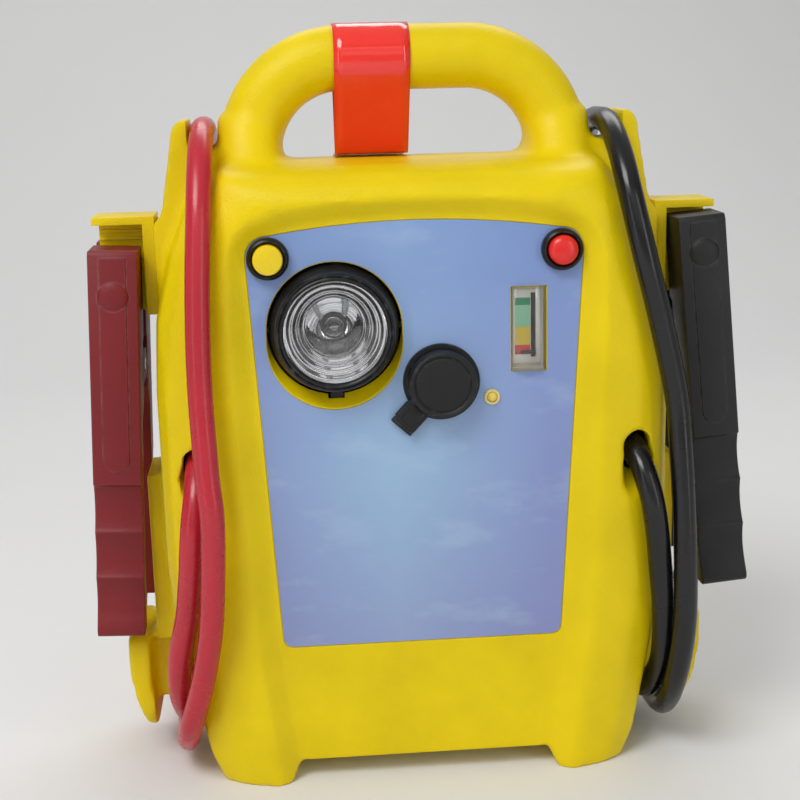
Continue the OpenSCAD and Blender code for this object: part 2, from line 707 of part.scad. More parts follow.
// Disc behind the barrel that carries the middle contact
module outlet_base() color(charcoal) facing(outlet_x, outlet_mouth_y, outlet_z) difference() {
  translate([0, 0, -outlet_depth - seat - outlet_floor]) cylinder(r = outlet_body_r, h = outlet_floor);
  translate([0, 0, -outlet_depth - outlet_floor - 1]) cylinder(r = 3, h = outlet_floor + 1);
}
module outlet_contact() color([0.8, 0.62, 0.3]) facing(outlet_x, outlet_mouth_y, outlet_z) {
  translate([0, 0, -outlet_depth - outlet_floor - 5]) cylinder(r = 2.9, h = outlet_floor + 4.8);
  translate([0, 0, -outlet_depth - outlet_floor - seat - 1.8]) cylinder(r = 6, h = 1.5);
}
module outlet_nut() color(charcoal) facing(outlet_x, panel_inner_y - seat, outlet_z) difference() {
  translate([0, 0, -5]) cylinder(r = outlet_body_r + 5, h = 5);
  translate([0, 0, -6]) cylinder(r = outlet_body_r + screw_gap, h = 7);
}
// Rubber ring round the flange, with the root of the strap
strap_w = 12;
strap_fold = 27.8;
strap_t = 1.5;
fold_y = label_face_y + 2.4;
cap_back_y = outlet_mouth_y + seat;
cap_front_y = rear_y;
module cap_ring() color(charcoal) facing(outlet_x, label_face_y, outlet_z) {
  difference() {
    cylinder(r = outlet_flange_r + 2.3, h = 2);
    translate([0, 0, -1]) cylinder(r = outlet_flange_r + 0.2, h = 5);
  }
  rotate([0, 0, strap_angle]) translate([outlet_flange_r + 1.8, -strap_w / 2, 0])
    cube([strap_fold - strap_t - seat - outlet_flange_r - 1.8, strap_w, 2]);
}
// Cap with its strap; it swings on the fold of the strap
module outlet_cap() color(charcoal) facing(outlet_x, cap_back_y, outlet_z) {
  difference() {
    union() {
      cylinder(r = cap_r, h = cap_front_y - cap_back_y - 1.2);
      translate([0, 0, cap_front_y - cap_back_y - 1.2]) cylinder(r1 = cap_r, r2 = cap_r - 1.2, h = 1.2);
    }
    translate([0, 0, -1]) cylinder(r = cap_r - 8, h = 4);
  }
  rotate([0, 0, strap_angle]) translate([0, 0, fold_y - cap_back_y]) {
    translate([cap_r - 1, -strap_w / 2, 0.3]) cube([strap_fold - cap_r + 1, strap_w, strap_t]);
    translate([strap_fold, strap_w / 2, 0]) rotate([90, 0, 0]) cylinder(r = strap_t, h = strap_w);
  }
}

// ---------------------------------------------------------------- Battery and electrics
battery_y0 = -34.5;
battery_z0 = 16;
battery_wall = 3;
battery_lid = 6;
battery_y1 = battery_y0 + battery_d;
battery_top = battery_z0 + battery_h;
module battery_case() color([0.25, 0.26, 0.28]) difference() {
  w = battery_w / 2 - battery_wall;
  block([-battery_w / 2, battery_y0, battery_z0], [battery_w / 2, battery_y1, battery_top]);
  block([-w, battery_y0 + battery_wall, battery_z0 + battery_wall],
        [w, battery_y1 - battery_wall, battery_top - battery_lid]);
}
// Packs of lead plates, one to each cell
cells = 6;
cell_gap = 4;
plate_h = 75;
module battery_plates() color([0.45, 0.45, 0.47]) {
  room = battery_w - 2 * battery_wall;
  pitch = room / cells;
  z = battery_z0 + battery_wall;
  for (k = [0:cells - 1]) {
    x = k * pitch - room / 2 + cell_gap / 2;
    block([x, battery_y0 + battery_wall + seat, z],
          [x + pitch - cell_gap, battery_y1 - battery_wall - seat, z + plate_h]);
  }
}
terminal_x = 62;
terminal_y = 30;
terminal_w = 16;
terminal_d = 14;
terminal_h = 10;
module battery_terminals() color([0.75, 0.7, 0.5]) both_sides() difference() {
  translate([terminal_x, terminal_y - terminal_d / 2, battery_top]) cube([terminal_w, terminal_d, terminal_h]);
  translate([terminal_x + 6, terminal_y, battery_top + 2]) cylinder(r = 3, h = terminal_h);
}
foam_base = arch_h + wall + seat;
foam_w = 120;
foam_strip_h = 18;
foam_strip_z = [48, 138];
foam_foot = [30, 50];
module battery_foam() color([0.2, 0.2, 0.22]) {
  for (z = foam_strip_z) {
    block([-foam_w / 2, seat - panel_inner_y, z], [foam_w / 2, battery_y0, z + foam_strip_h]);
    block([-foam_w / 2, battery_y1, z], [foam_w / 2, rear_y - wall - seat, z + foam_strip_h]);
  }
  for (k = [-1, 1])
    translate([40 * k - foam_foot[0] / 2, -20, foam_base]) cube([foam_foot[0], foam_foot[1], battery_z0 - foam_base]);
}
// Circuit board on four posts from the rear wall
board_at = [47, 239];
board_size = [66, 54];
board_t = 1.6;
board_y = 22;
board_hole_r = 1.6;
module at_board_holes() for (j = [-1, 1], k = [-1, 1])
  translate([board_at[0] + j * (board_size[0] / 2 - 5), board_y, board_at[1] + k * (board_size[1] / 2 - 5)])
    rotate([-90, 0, 0]) children();
module circuit_board() color([0.1, 0.4, 0.2]) difference() {
  translate([board_at[0] - board_size[0] / 2, board_y, board_at[1] - board_size[1] / 2])
    cube([board_size[0], board_t, board_size[1]]);
  at_board_holes() translate([0, 0, -1]) cylinder(r = board_hole_r, h = board_t + 2);
}
relay = [18, 14, 18];
chip = [16, 6, 12];
module board_parts() {
  color([0.15, 0.35, 0.6]) translate([board_at[0] - 23, board_y - relay[1], board_at[1] - 17]) cube(relay);
  color([0.1, 0.1, 0.1]) translate([board_at[0] + 3, board_y - chip[1], board_at[1] + 5]) cube(chip);
  color([0.8, 0.8, 0.7]) at_board_holes() difference() {
    translate([0, 0, board_t]) cylinder(r = 3, h = rear_y - wall - seat - board_y - board_t);
    cylinder(r = board_hole_r, h = 12);
  }
}
jack_x = 48;
jack_z = 238;
jack_r = 5.5;
jack_len = 20;
jack_deep = 12;
module charge_jack() color(charcoal) translate([jack_x, rear_y, jack_z]) rotate([-90, 0, 0]) difference() {
  translate([0, 0, -jack_len]) cylinder(r = jack_r, h = jack_len - 0.5);
  translate([0, 0, -jack_deep]) difference() {
    cylinder(r = 3.2, h = jack_deep + 1);
    translate([0, 0, -1]) cylinder(r = 1.05, h = jack_deep - 1);
  }
}
fuse_size = [36, 18, 10];
module fuse_block() color([0.55, 0.12, 0.1])
  translate([-fuse_size[0] / 2, terminal_y - 14, battery_top]) cube(fuse_size);

// Blocks on the side walls that hold the inner ends of the jump cables
anchor_face = -16;
anchor_back = 2;
anchor_x = cable_hole[0];
anchor_z = cable_hole[1];
anchor_h = 18;
module cable_anchor() color([0.3, 0.3, 0.3]) block(
  [anchor_x - 10, anchor_face, anchor_z - anchor_h / 2],
  [body_half_w - wall - seat, anchor_back, anchor_z + anchor_h / 2]
);
module black_cable_anchor() cable_anchor();
module red_cable_anchor() mirror([1, 0, 0]) cable_anchor();

// ---------------------------------------------------------------- Cables
// A smooth curve through the points, with n steps between each two
function curve_at(p, k, t) =
  let (a = p[max(k - 1, 0)], b = p[k], c = p[k + 1], d = p[min(k + 2, len(p) - 1)])
  0.5 * (2 * b + (c - a) * t + (2 * a - 5 * b + 4 * c - d) * t * t
    + (3 * b - a - 3 * c + d) * t * t * t);
function curve(p, n) = [
  for (k = [0:len(p) - 2], j = [0:n - 1]) curve_at(p, k, j / n),
  p[len(p) - 1]
];
function unit(v) = v / norm(v);
function tangent(c, k) =
  k == 0 ? unit(c[1] - c[0]) :
  k == len(c) - 1 ? unit(c[k] - c[k - 1]) :
  unit(unit(c[k] - c[k - 1]) + unit(c[k + 1] - c[k]));
// A direction square to the tangent, carried along the curve
function carried(c, k, n) =
  k == len(c) ? [] :
  let (t = tangent(c, k), m = unit(n - t * (n * t)))
  concat([m], carried(c, k + 1, m));

// One closed tube of the given sides along a list of centre points
module tube(c, r, sides, first) {
  n = carried(c, 0, first);
  points = [
    for (k = [0:len(c) - 1])
      let (t = tangent(c, k), u = n[k], v = cross(t, u))
      for (j = [0:sides - 1])
        c[k] + r * (u * cos(360 * j / sides) + v * sin(360 * j / sides))
  ];
  rings = len(c);
  walls = [
    for (k = [0:rings - 2], j = [0:sides - 1], h = [0, 1])
      let (a = k * sides + j, b = k * sides + (j + 1) % sides)
      h == 0 ? [a, a + sides, b] : [b, a + sides, b + sides]
  ];
  caps = [
    for (j = [1:sides - 2]) each [
      [0, j, j + 1],
      [(rings - 1) * sides, (rings - 1) * sides + j + 1, (rings - 1) * sides + j]
    ]
  ];
  polyhedron(points, concat(walls, caps));
}

cable_sides = 10;
// Clamp pivots, and how far each clamp leans outwards
red_pivot = [-body_half_w - 20.5, 0, 205];
red_lean = 2.3;
black_pivot = [body_half_w + 22.2, 0, 216.5];
black_lean = -4.7;
// Middle of the end face of a rear grip, where its cable goes in
function grip_end(pivot, lean) =
  let (y = grip_half_d - grip_t / 2)
  pivot + [-grip_len * sin(lean), y, -grip_len * cos(lean)];
function below_grip(pivot, lean, d) = grip_end(pivot, lean) - d * [sin(lean), 0, cos(lean)];

// Points of each route; x is counted outwards from the flank
red_points = [
  [-17, -16, 164], [-17, -25, 164], [-17, -34, 163.8], [-16.8, -42.8, 161.5], [-16.1, -50.2, 156.3], [-15.2, -56, 148.6],
  [-13.8, -59.4, 138.6], [-12.4, -60, 125], [-11.2, -58.6, 112], [-8.5, -55.7, 92], [-3.6, -51.9, 70], [-2.1, -43, 48],
  [-4, -27.4, 30], [-5.8, -9, 24.6], [-5.8, 8, 24.6], [-4.8, 23.5, 29.5], [-3.2, 37, 46], [-4.5, 48, 69],
  [-10, 56, 104], [-13, 59, 150], [-14, 59, 200], [-16, 57, 242], [-21, 53, 280], [-24, 40, 305],
  [-25.5, 20, 316], [-25.5, 0, 318], [-25.5, -20, 316], [-25, -40, 305], [-24, -55, 282], [-22, -62, 246],
  [-21, -64.5, 208], [-22.2, -69, 168], [-23.7, -71.4, 146], [-23, -70, 124], [-20.5, -66.5, 92], [-16.8, -62.2, 70],
  [-12, -56.8, 50], [-6.6, -48.6, 31], [-3.6, -32, 17], [-2.4, -11, 12.6], [-1, 8, 12.6], [2.4, 22, 15.6],
  [7.8, 31.8, 22.6], [14.4, 36.2, 31.6], [20.4, 36.6, 42], [24.7, 33.7, 52.5]
];
black_points = [
  [-17, -16, 164], [-17, -25, 164], [-17, -34, 163.8], [-16.5, -42.8, 161.5], [-15.1, -49.9, 156.4], [-13.2, -54.8, 149],
  [-10.7, -57.2, 138.6], [-8.2, -56.9, 124], [-5.8, -54.6, 106], [-3, -52.2, 80], [-1.4, -44, 52], [-4, -27.4, 30.2],
  [-5.8, -9, 24.6], [-5.8, 8, 24.6], [-4.8, 23.5, 29.5], [-3.2, 37, 46], [-4.5, 48, 69], [-10, 56, 104],
  [-13, 59, 150], [-14, 59, 200], [-16, 57, 242], [-21, 53, 280], [-24, 40, 305], [-25.5, 20, 316],
  [-25.5, 0, 318], [-25.5, -20, 316], [-25, -40, 305], [-23, -54, 286], [-17, -59, 258], [-8, -56, 226],
  [0.7, -53.5, 190], [3.2, -55.5, 162], [4.6, -57.8, 135], [5.4, -60, 107], [5.4, -61, 80], [4.4, -58.9, 60],
  [3.2, -53.5, 44], [2.9, -43, 30], [3.7, -28, 19.8], [4.3, -12, 16], [4.7, 1, 14.9], [5.3, 14, 14.9],
  [6.9, 25, 17.3], [10, 33.9, 24.3], [14.4, 38.8, 34.2], [19.8, 40, 42], [26.4, 38.4, 53.5], [31.5, 34, 64.5]
];
function outward(s, p) = [for (q = p) [s * (body_half_w + q[0]), q[1], q[2]]];
red_route = concat(outward(-1, red_points), [
  below_grip(red_pivot, red_lean, cable_d), grip_end(red_pivot, red_lean)
]);
black_route = concat(outward(1, black_points), [
  below_grip(black_pivot, black_lean, cable_d), grip_end(black_pivot, black_lean)
]);
function path_length(c) = [for (k = [1:len(c) - 1]) norm(c[k] - c[k - 1])] * [for (k = [1:len(c) - 1]) 1];
// Least gap between turns of one cable: points further apart along it than two diameters
function self_gap(c) = min([
  for (a = [0:len(c) - 5], b = [a + 5:len(c) - 1])
    norm(c[a] - c[b]) - cable_d
]);
echo(red_cable_length = path_length(curve(red_route, 4)), least_gap = self_gap(curve(red_route, 2)));
echo(black_cable_length = path_length(curve(black_route, 4)), least_gap = self_gap(curve(black_route, 2)));

module red_cable() color(cable_red) tube(curve(red_route, 1), cable_d / 2, cable_sides, [1, 0, 0]);
module black_cable() color(charcoal) tube(curve(black_route, 1), cable_d / 2, cable_sides, [1, 0, 0]);

lead_z = battery_top + 6;
lead_points = [
  [anchor_x, anchor_back, anchor_z], [anchor_x, 8, anchor_z], [anchor_x, 15, anchor_z],
  [anchor_x - 3, 26, anchor_z + 12], [anchor_x - 10, terminal_y, lead_z - 1], [anchor_x - 19, terminal_y, lead_z],
  [terminal_x + terminal_w + 6, terminal_y, lead_z], [terminal_x + terminal_w, terminal_y, lead_z]
];
module inner_lead() tube(curve(lead_points, 2), lead_d / 2, 8, [1, 0, 0]);
module red_inner_lead() color(cable_red) mirror([1, 0, 0]) inner_lead();
module black_inner_lead() color(charcoal) inner_lead();

// ---------------------------------------------------------------- Clamps
// Drawn with the pivot at the origin, jaws up, front half towards -Y
scallop_at = [-64.5, -87.5, -110.5];
scallop_r = 26;
scallop_reach = 11.3;
lug_r = 8;
lug_t = 3.8;
lug_gap = 0.3;
jaw_y = 6;
jaw_foot = 14;
boss_z = 38;
plate_gap = bite_t / 2 + seat;
// Outer face of a grip at height z
function outer_y(z) = clamp_half_d + (jaw_len - z) / (jaw_len + grip_len) * (grip_half_d - clamp_half_d);

// Profile across the clamp of one half, drawn in YZ with the outer face at +Y
module grip_profile() {
  difference() {
    polygon([
      [jaw_y, jaw_len], [outer_y(jaw_len), jaw_len], [outer_y(-53), -53], [outer_y(-53) - 2.2, -53.5],
      [grip_half_d - 1.2, -grip_len + 9], [grip_half_d - 1.2, -grip_len + 3], [grip_half_d - 4, -grip_len],
      [grip_half_d - grip_t, -grip_len], [outer_y(-60) - 13, -60], [outer_y(-25) - 14, -25],
      [lug_r + 2, -14], [lug_r + 2, 12], [jaw_y, jaw_foot]
    ]);
    for (z = scallop_at)
      translate([outer_y(z) - 2.2 + sqrt(scallop_r * scallop_r - scallop_reach * scallop_reach), z])
        circle(scallop_r, $fn = 96);
  }
}
module grip_half(lug_x) {
  translate([-clamp_w / 2, 0, 0]) rotate([90, 0, 90]) linear_extrude(clamp_w) grip_profile();
  translate([0, clamp_half_d - 1, boss_z]) rotate([-90, 0, 0]) cylinder(r = 7.5, h = 1.8);
  difference() {
    for (k = [-1, 1]) {
      x = k > 0 ? lug_x : -lug_x - lug_t;
      translate([x, 0, 0]) rotate([0, 90, 0]) cylinder(r = lug_r, h = lug_t);
      block([x, 0, -lug_r], [x + lug_t, lug_r + 4, lug_r]);
    }
    translate([-clamp_w, 0, 0]) rotate([0, 90, 0]) cylinder(r = pivot_r + running, h = 2 * clamp_w);
  }
}
outer_lug = clamp_w / 2 - lug_t;
inner_lug = outer_lug - lug_gap - lug_t;
module jaw() {
  teeth = 7;
  pitch = (jaw_len - jaw_foot - 2) / teeth;
  translate([-8, 0, 0]) rotate([90, 0, 90]) linear_extrude(16) polygon(concat(
    [[jaw_y, jaw_foot], [jaw_y, jaw_len - 1], [plate_gap, jaw_len - 2]],
    [for (k = [0:teeth - 1], h = [0, 1])
      [plate_gap + (h == 0 ? 1.1 : 0), jaw_len - 2 - (k + (h + 1) / 2) * pitch]]
  ));
}
module at_clamp(pivot, lean) translate(pivot) rotate([0, lean, 0]) children();
module front_half() mirror([0, 1, 0]) children();

module red_front_grip() color(dull_red) at_clamp(red_pivot, red_lean) front_half() grip_half(outer_lug);
module red_rear_grip() color(dull_red) at_clamp(red_pivot, red_lean) grip_half(inner_lug);
module black_front_grip() color(charcoal) at_clamp(black_pivot, black_lean) front_half() grip_half(outer_lug);
module black_rear_grip() color(charcoal) at_clamp(black_pivot, black_lean) grip_half(inner_lug);
module red_front_jaw() color(copper) at_clamp(red_pivot, red_lean) front_half() jaw();
module red_rear_jaw() color(copper) at_clamp(red_pivot, red_lean) jaw();
module black_front_jaw() color(copper) at_clamp(black_pivot, black_lean) front_half() jaw();
module black_rear_jaw() color(copper) at_clamp(black_pivot, black_lean) jaw();

module pivot_pin() rotate([0, 90, 0]) difference() {
  translate([0, 0, -clamp_w / 2]) cylinder(r = pivot_r, h = clamp_w);
  translate([0, 0, -clamp_w]) cylinder(r = 1.2, h = 2 * clamp_w);
}
module red_pivot_pin() color(steel) at_clamp(red_pivot, red_lean) pivot_pin();
module black_pivot_pin() color(steel) at_clamp(black_pivot, black_lean) pivot_pin();

// Torsion spring round the pin, with a leg along each grip
spring_wire = 0.75;
leg_y = 13;
leg_z = -28;
spring_r = 5.2;
spring_steps = 21;
spring_span = 2.6;
spring_turn = 940;
spring_route = concat(
  [[-spring_span, -leg_y, leg_z]],
  [for (k = [0:spring_steps]) let (a = 200 - spring_turn * k / spring_steps)
    [-spring_span + 2 * spring_span * k / spring_steps, spring_r * cos(a), spring_r * sin(a)]],
  [[spring_span, leg_y, leg_z]]
);
echo(spring_least_gap = 2 * spring_span * 360 / spring_turn - 2 * spring_wire);
module clamp_spring() tube(spring_route, spring_wire, 6, [0, 0, 1]);
module red_spring() color(steel) at_clamp(red_pivot, red_lean) clamp_spring();
module black_spring() color(steel) at_clamp(black_pivot, black_lean) clamp_spring();

front_shell();
rear_shell();
shell_screws();
front_label();
handle_tag();
left_bracket();
right_bracket();
bracket_screws();
lamp_housing();
lamp_reflector();
lamp_lens();
lamp_bulb();
bulb_holder();
lamp_cradle();
light_switch_bezel();
light_switch_button();
light_switch_body();
status_switch_bezel();
status_switch_button();
status_switch_body();
gauge_case();
gauge_card();
gauge_needle();
gauge_window();
led_bezel();
led_lens();
outlet_barrel();
outlet_base();
outlet_contact();
outlet_nut();
cap_ring();
outlet_cap();
battery_case();
battery_plates();
battery_terminals();
battery_foam();
circuit_board();
board_parts();
charge_jack();
fuse_block();
red_cable_anchor();
black_cable_anchor();
red_inner_lead();
black_inner_lead();
red_cable();
black_cable();
red_front_grip();
red_rear_grip();
red_front_jaw();
red_rear_jaw();
red_pivot_pin();
red_spring();
black_front_grip();
black_rear_grip();
black_front_jaw();
black_rear_jaw();
black_pivot_pin();
black_spring();
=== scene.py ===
# %% [markdown]
# # A jump starter pack, dressed in Blender
# The solids of the pack come ready made and stay where they are. This notebook
# gives them their finishes, and builds the pieces whose soft shapes are easier
# to make here, among them the moulded housing, the two cables, the grips, the
# film tag and the lamp. It starts with the fixed model and its box.

import json
import math

import bmesh
import bpy
from mathutils import Matrix, Vector


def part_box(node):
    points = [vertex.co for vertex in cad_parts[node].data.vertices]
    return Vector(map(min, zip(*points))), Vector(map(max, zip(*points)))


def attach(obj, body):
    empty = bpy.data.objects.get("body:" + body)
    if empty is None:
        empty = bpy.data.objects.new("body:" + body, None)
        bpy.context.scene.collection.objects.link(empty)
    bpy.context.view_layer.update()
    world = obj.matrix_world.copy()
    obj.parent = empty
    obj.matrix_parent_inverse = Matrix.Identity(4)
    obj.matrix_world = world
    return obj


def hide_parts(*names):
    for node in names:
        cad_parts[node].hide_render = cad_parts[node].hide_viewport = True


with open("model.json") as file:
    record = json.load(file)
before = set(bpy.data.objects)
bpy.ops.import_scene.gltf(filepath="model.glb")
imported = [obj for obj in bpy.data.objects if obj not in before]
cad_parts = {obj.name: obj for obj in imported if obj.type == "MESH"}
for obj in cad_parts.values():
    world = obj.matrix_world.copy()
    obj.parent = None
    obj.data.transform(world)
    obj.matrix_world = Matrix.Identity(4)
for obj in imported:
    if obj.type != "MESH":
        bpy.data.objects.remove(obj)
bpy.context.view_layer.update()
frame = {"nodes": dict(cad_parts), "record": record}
MM = 0.001

# %% [markdown]
# ## Camera
# A camera is a place, a direction and a focal length. A table-top picture of a
# pack this size is taken from about 0.7 m, a little above it and a little to
# one side, so the camera is turned by three small angles instead of being
# aimed at a target, which would not give its roll.

# %% Camera
YAW, PITCH, ROLL = (math.radians(a) for a in (-4.6, 13.32, -1.34))
LENS = 64
CAMERA_AT = (-0.0611, -0.6987, 0.3464)
level_right = Vector((math.cos(YAW), math.sin(YAW), 0))
level_ahead = Vector((-math.sin(YAW), math.cos(YAW), 0))
ahead = level_ahead * math.cos(PITCH) - Vector((0, 0, 1)) * math.sin(PITCH)
up = Vector((0, 0, 1)) * math.cos(PITCH) + level_ahead * math.sin(PITCH)
right = level_right * math.cos(ROLL) + up * math.sin(ROLL)
top = up * math.cos(ROLL) - level_right * math.sin(ROLL)

camera_data = bpy.data.cameras.new("camera")
camera_data.sensor_fit = "HORIZONTAL"
camera_data.sensor_width = 36
camera_data.lens = LENS
camera = bpy.data.objects.new("camera", camera_data)
bpy.context.scene.collection.objects.link(camera)
turn = Matrix((right, top, -ahead)).transposed().to_4x4()
camera.matrix_world = Matrix.Translation(CAMERA_AT) @ turn
bpy.context.scene.camera = camera
print("camera looks along", [round(v, 3) for v in ahead])


# %% [markdown]
# ## Nodes as arithmetic
# A material is a small program. Written as nodes and links it is hard to read,
# so one class wraps a socket: adding or multiplying two wrapped sockets adds
# the Math node that does it. Every other node is made by one method that takes
# its type, then its settings, then the values or links of its sockets.

# %% A wrapped socket
class Wire:
    """One output socket, with the arithmetic that shaders need."""

    def __init__(self, tree, socket):
        self.tree, self.socket = tree, socket

    def math(self, operation, *others):
        values = [other if isinstance(other, Wire) else float(other) for other in others]
        return node(self.tree, "ShaderNodeMath", {"operation": operation}, dict(enumerate([self] + values)))

    def flipped(self, operation, other):
        return node(self.tree, "ShaderNodeMath", {"operation": operation}, {0: float(other), 1: self})

    def __add__(self, other):
        return self.math("ADD", other)

    def __sub__(self, other):
        return self.math("SUBTRACT", other)

    def __mul__(self, other):
        return self.math("MULTIPLY", other)

    def __radd__(self, other):
        return self.flipped("ADD", other)

    def __rsub__(self, other):
        return self.flipped("SUBTRACT", other)

    def __rmul__(self, other):
        return self.flipped("MULTIPLY", other)

    def above(self, edge):
        return self.math("GREATER_THAN", edge)

    def ramp(self, low, high, to_low=0.0, to_high=1.0):
        """Runs from to_low to to_high while this value runs from low to high."""
        sockets = {0: self, 1: low, 2: high, 3: to_low, 4: to_high}
        return node(self.tree, "ShaderNodeMapRange", {"clamp": True}, sockets)


# %% Adding a node
def node(tree, kind, settings=None, sockets=None, out=0):
    """Adds a node: its type, its settings, the values or links of its sockets."""
    made = tree.nodes.new(kind)
    for name, value in (settings or {}).items():
        if name == "stops":
            ramp = made.color_ramp
            while len(ramp.elements) < len(value):
                ramp.elements.new(1.0)
            for element, (place, colour) in zip(ramp.elements, value):
                element.position = place
                element.color = (*colour, 1.0)
        else:
            setattr(made, name, value)
    for name, value in (sockets or {}).items():
        if isinstance(value, Wire):
            tree.links.new(value.socket, made.inputs[name])
        else:
            made.inputs[name].default_value = value
    return Wire(tree, made.outputs[out])


# %% A finish
EDGE_REACH = 0.0012


class Finish:
    """A material with one Principled shader, and helpers that read the piece."""

    def __init__(self, name, colour, roughness, **fixed):
        self.material = bpy.data.materials.new(name)
        self.material.use_nodes = True
        self.tree = self.material.node_tree
        self.shader = self.tree.nodes["Principled BSDF"]
        self.set("Base Color", (*colour, 1.0))
        self.set("Roughness", roughness)
        for socket, value in fixed.items():
            self.set(socket.replace("_", " "), value)
        self.place = node(self.tree, "ShaderNodeTexCoord", out=3)

    def set(self, socket, value):
        if isinstance(value, Wire):
            self.tree.links.new(value.socket, self.shader.inputs[socket])
        else:
            self.shader.inputs[socket].default_value = value

    def noise(self, size, detail=4.0, rough=0.55, stretch=(1, 1, 1)):
        """Cloudy noise from 0 to 1 whose blobs are about size metres wide."""
        place = self.place
        if stretch != (1, 1, 1):
            place = node(self.tree, "ShaderNodeMapping", {}, {"Vector": place, "Scale": stretch})
        sockets = {"Vector": place, "Scale": 1 / size, "Detail": detail, "Roughness": rough}
        return node(self.tree, "ShaderNodeTexNoise", {}, sockets)

    def axis(self, letter):
        """The place along X, Y or Z, in metres."""
        return node(self.tree, "ShaderNodeSeparateXYZ", {}, {0: self.place}, "XYZ".index(letter))

    def mix(self, share, a, b):
        """Colour a where share is 0, colour b where it is 1."""
        colours = {"Factor": share, 6: a if isinstance(a, Wire) else (*a, 1.0)}
        colours[7] = b if isinstance(b, Wire) else (*b, 1.0)
        return node(self.tree, "ShaderNodeMix", {"data_type": "RGBA"}, colours, 2)

    def bump(self, height, depth):
        """Dents the surface by height times depth, in metres."""
        sockets = {"Height": height, "Distance": depth, "Strength": 1.0}
        self.set("Normal", node(self.tree, "ShaderNodeBump", {}, sockets))

    # Marks the sharp edges where plastics are lighter: partly wear, partly a painted highlight.
    def worn_and_lit_edges(self):
        """1 where the surface turns sharply, 0 on flats, from the bevel's normal."""
        bevel = node(self.tree, "ShaderNodeBevel", {"samples": 4}, {"Radius": EDGE_REACH})
        face = node(self.tree, "ShaderNodeNewGeometry", out=1)
        dot = node(self.tree, "ShaderNodeVectorMath", {"operation": "DOT_PRODUCT"}, {0: bevel, 1: face}, 1)
        return dot.ramp(0.995, 0.9)


FINISHES = {}
print("node helpers ready")

# %% [markdown]
# ## The two jump cables
# Each cable is one flexible lead of about a metre. It leaves a hole low on the
# front, goes under the core of its reel, up the back, over the notch in the
# shoulder, down the front, round the reel again and into the end of a grip.
# A curve with a round section shows this best, because its line is also its
# true length. The points are those of the solid cable, with x counted outwards
# from the flank. Each point's two handles follow from its neighbours, so the
# bends stay as round as they can.

# %% Routes of the cables
FLANK = 122
CABLE_R = 5.75 * MM
red_points = [
    (-17, -16, 164), (-17, -25, 164), (-17, -34, 163.8), (-16.8, -42.8, 161.5), (-16.1, -50.2, 156.3),
    (-15.2, -56, 148.6), (-13.8, -59.4, 138.6), (-12.4, -60, 125), (-11.2, -58.6, 112), (-8.5, -55.7, 92),
    (-3.6, -51.9, 70), (-2.1, -43, 48), (-4, -27.4, 30), (-5.8, -9, 24.6), (-5.8, 8, 24.6),
    (-4.8, 23.5, 29.5), (-3.2, 37, 46), (-4.5, 48, 69), (-10, 56, 104), (-13, 59, 150),
    (-14, 59, 200), (-16, 57, 242), (-21, 53, 280), (-24, 40, 305), (-25.5, 20, 316),
    (-25.5, 0, 318), (-25.5, -20, 316), (-25, -40, 305), (-24, -55, 282), (-22, -62, 246),
    (-21, -64.5, 208), (-22.2, -69, 168), (-23.7, -71.4, 146), (-23, -70, 124), (-20.5, -66.5, 92),
    (-16.8, -62.2, 70), (-12, -56.8, 50), (-6.6, -48.6, 31), (-3.6, -32, 17), (-2.4, -11, 12.6),
    (-1, 8, 12.6), (2.4, 22, 15.6), (7.8, 31.8, 22.6), (14.4, 36.2, 31.6), (20.4, 36.6, 42),
    (24.7, 33.7, 52.5),
]
black_points = [
    (-17, -16, 164), (-17, -25, 164), (-17, -34, 163.8), (-16.5, -42.8, 161.5), (-15.1, -49.9, 156.4),
    (-13.2, -54.8, 149), (-10.7, -57.2, 138.6), (-8.2, -56.9, 124), (-5.8, -54.6, 106), (-3, -52.2, 80),
    (-1.4, -44, 52), (-4, -27.4, 30.2), (-5.8, -9, 24.6), (-5.8, 8, 24.6), (-4.8, 23.5, 29.5),
    (-3.2, 37, 46), (-4.5, 48, 69), (-10, 56, 104), (-13, 59, 150), (-14, 59, 200),
    (-16, 57, 242), (-21, 53, 280), (-24, 40, 305), (-25.5, 20, 316), (-25.5, 0, 318),
    (-25.5, -20, 316), (-25, -40, 305), (-23, -54, 286), (-17, -59, 258), (-8, -56, 226),
    (0.7, -53.5, 190), (3.2, -55.5, 162), (4.6, -57.8, 135), (5.4, -60, 107), (5.4, -61, 80),
    (4.4, -58.9, 60), (3.2, -53.5, 44), (2.9, -43, 30), (3.7, -28, 19.8), (4.3, -12, 16),
    (4.7, 1, 14.9), (5.3, 14, 14.9), (6.9, 25, 17.3), (10, 33.9, 24.3), (14.4, 38.8, 34.2),
    (19.8, 40, 42), (26.4, 38.4, 53.5), (31.5, 34, 64.5),
]
CLAMPS = {
    "red": {"side": -1, "pivot": (-FLANK - 20.5, 0, 205), "lean": 2.3},
    "black": {"side": 1, "pivot": (FLANK + 22.2, 0, 216.5), "lean": -4.7},
}
GRIP_LEN, GRIP_END_Y = 130, 31
INTO_GRIP = 11.5


def grip_end(colour, beyond=0):
    """Middle of the end face of a rear grip, or a point beyond it on its axis."""
    x, y, z = CLAMPS[colour]["pivot"]
    lean = math.radians(CLAMPS[colour]["lean"])
    reach = GRIP_LEN + beyond
    return (x - reach * math.sin(lean), y + GRIP_END_Y, z - reach * math.cos(lean))


routes = {}
for colour, points in (("red", red_points), ("black", black_points)):
    side = CLAMPS[colour]["side"]
    route = [(side * (FLANK + x), y, z) for x, y, z in points]
    route += [grip_end(colour, INTO_GRIP), grip_end(colour)]
    routes[colour] = [Vector(p) * MM for p in route]
    print(colour, "cable:", len(route), "points")


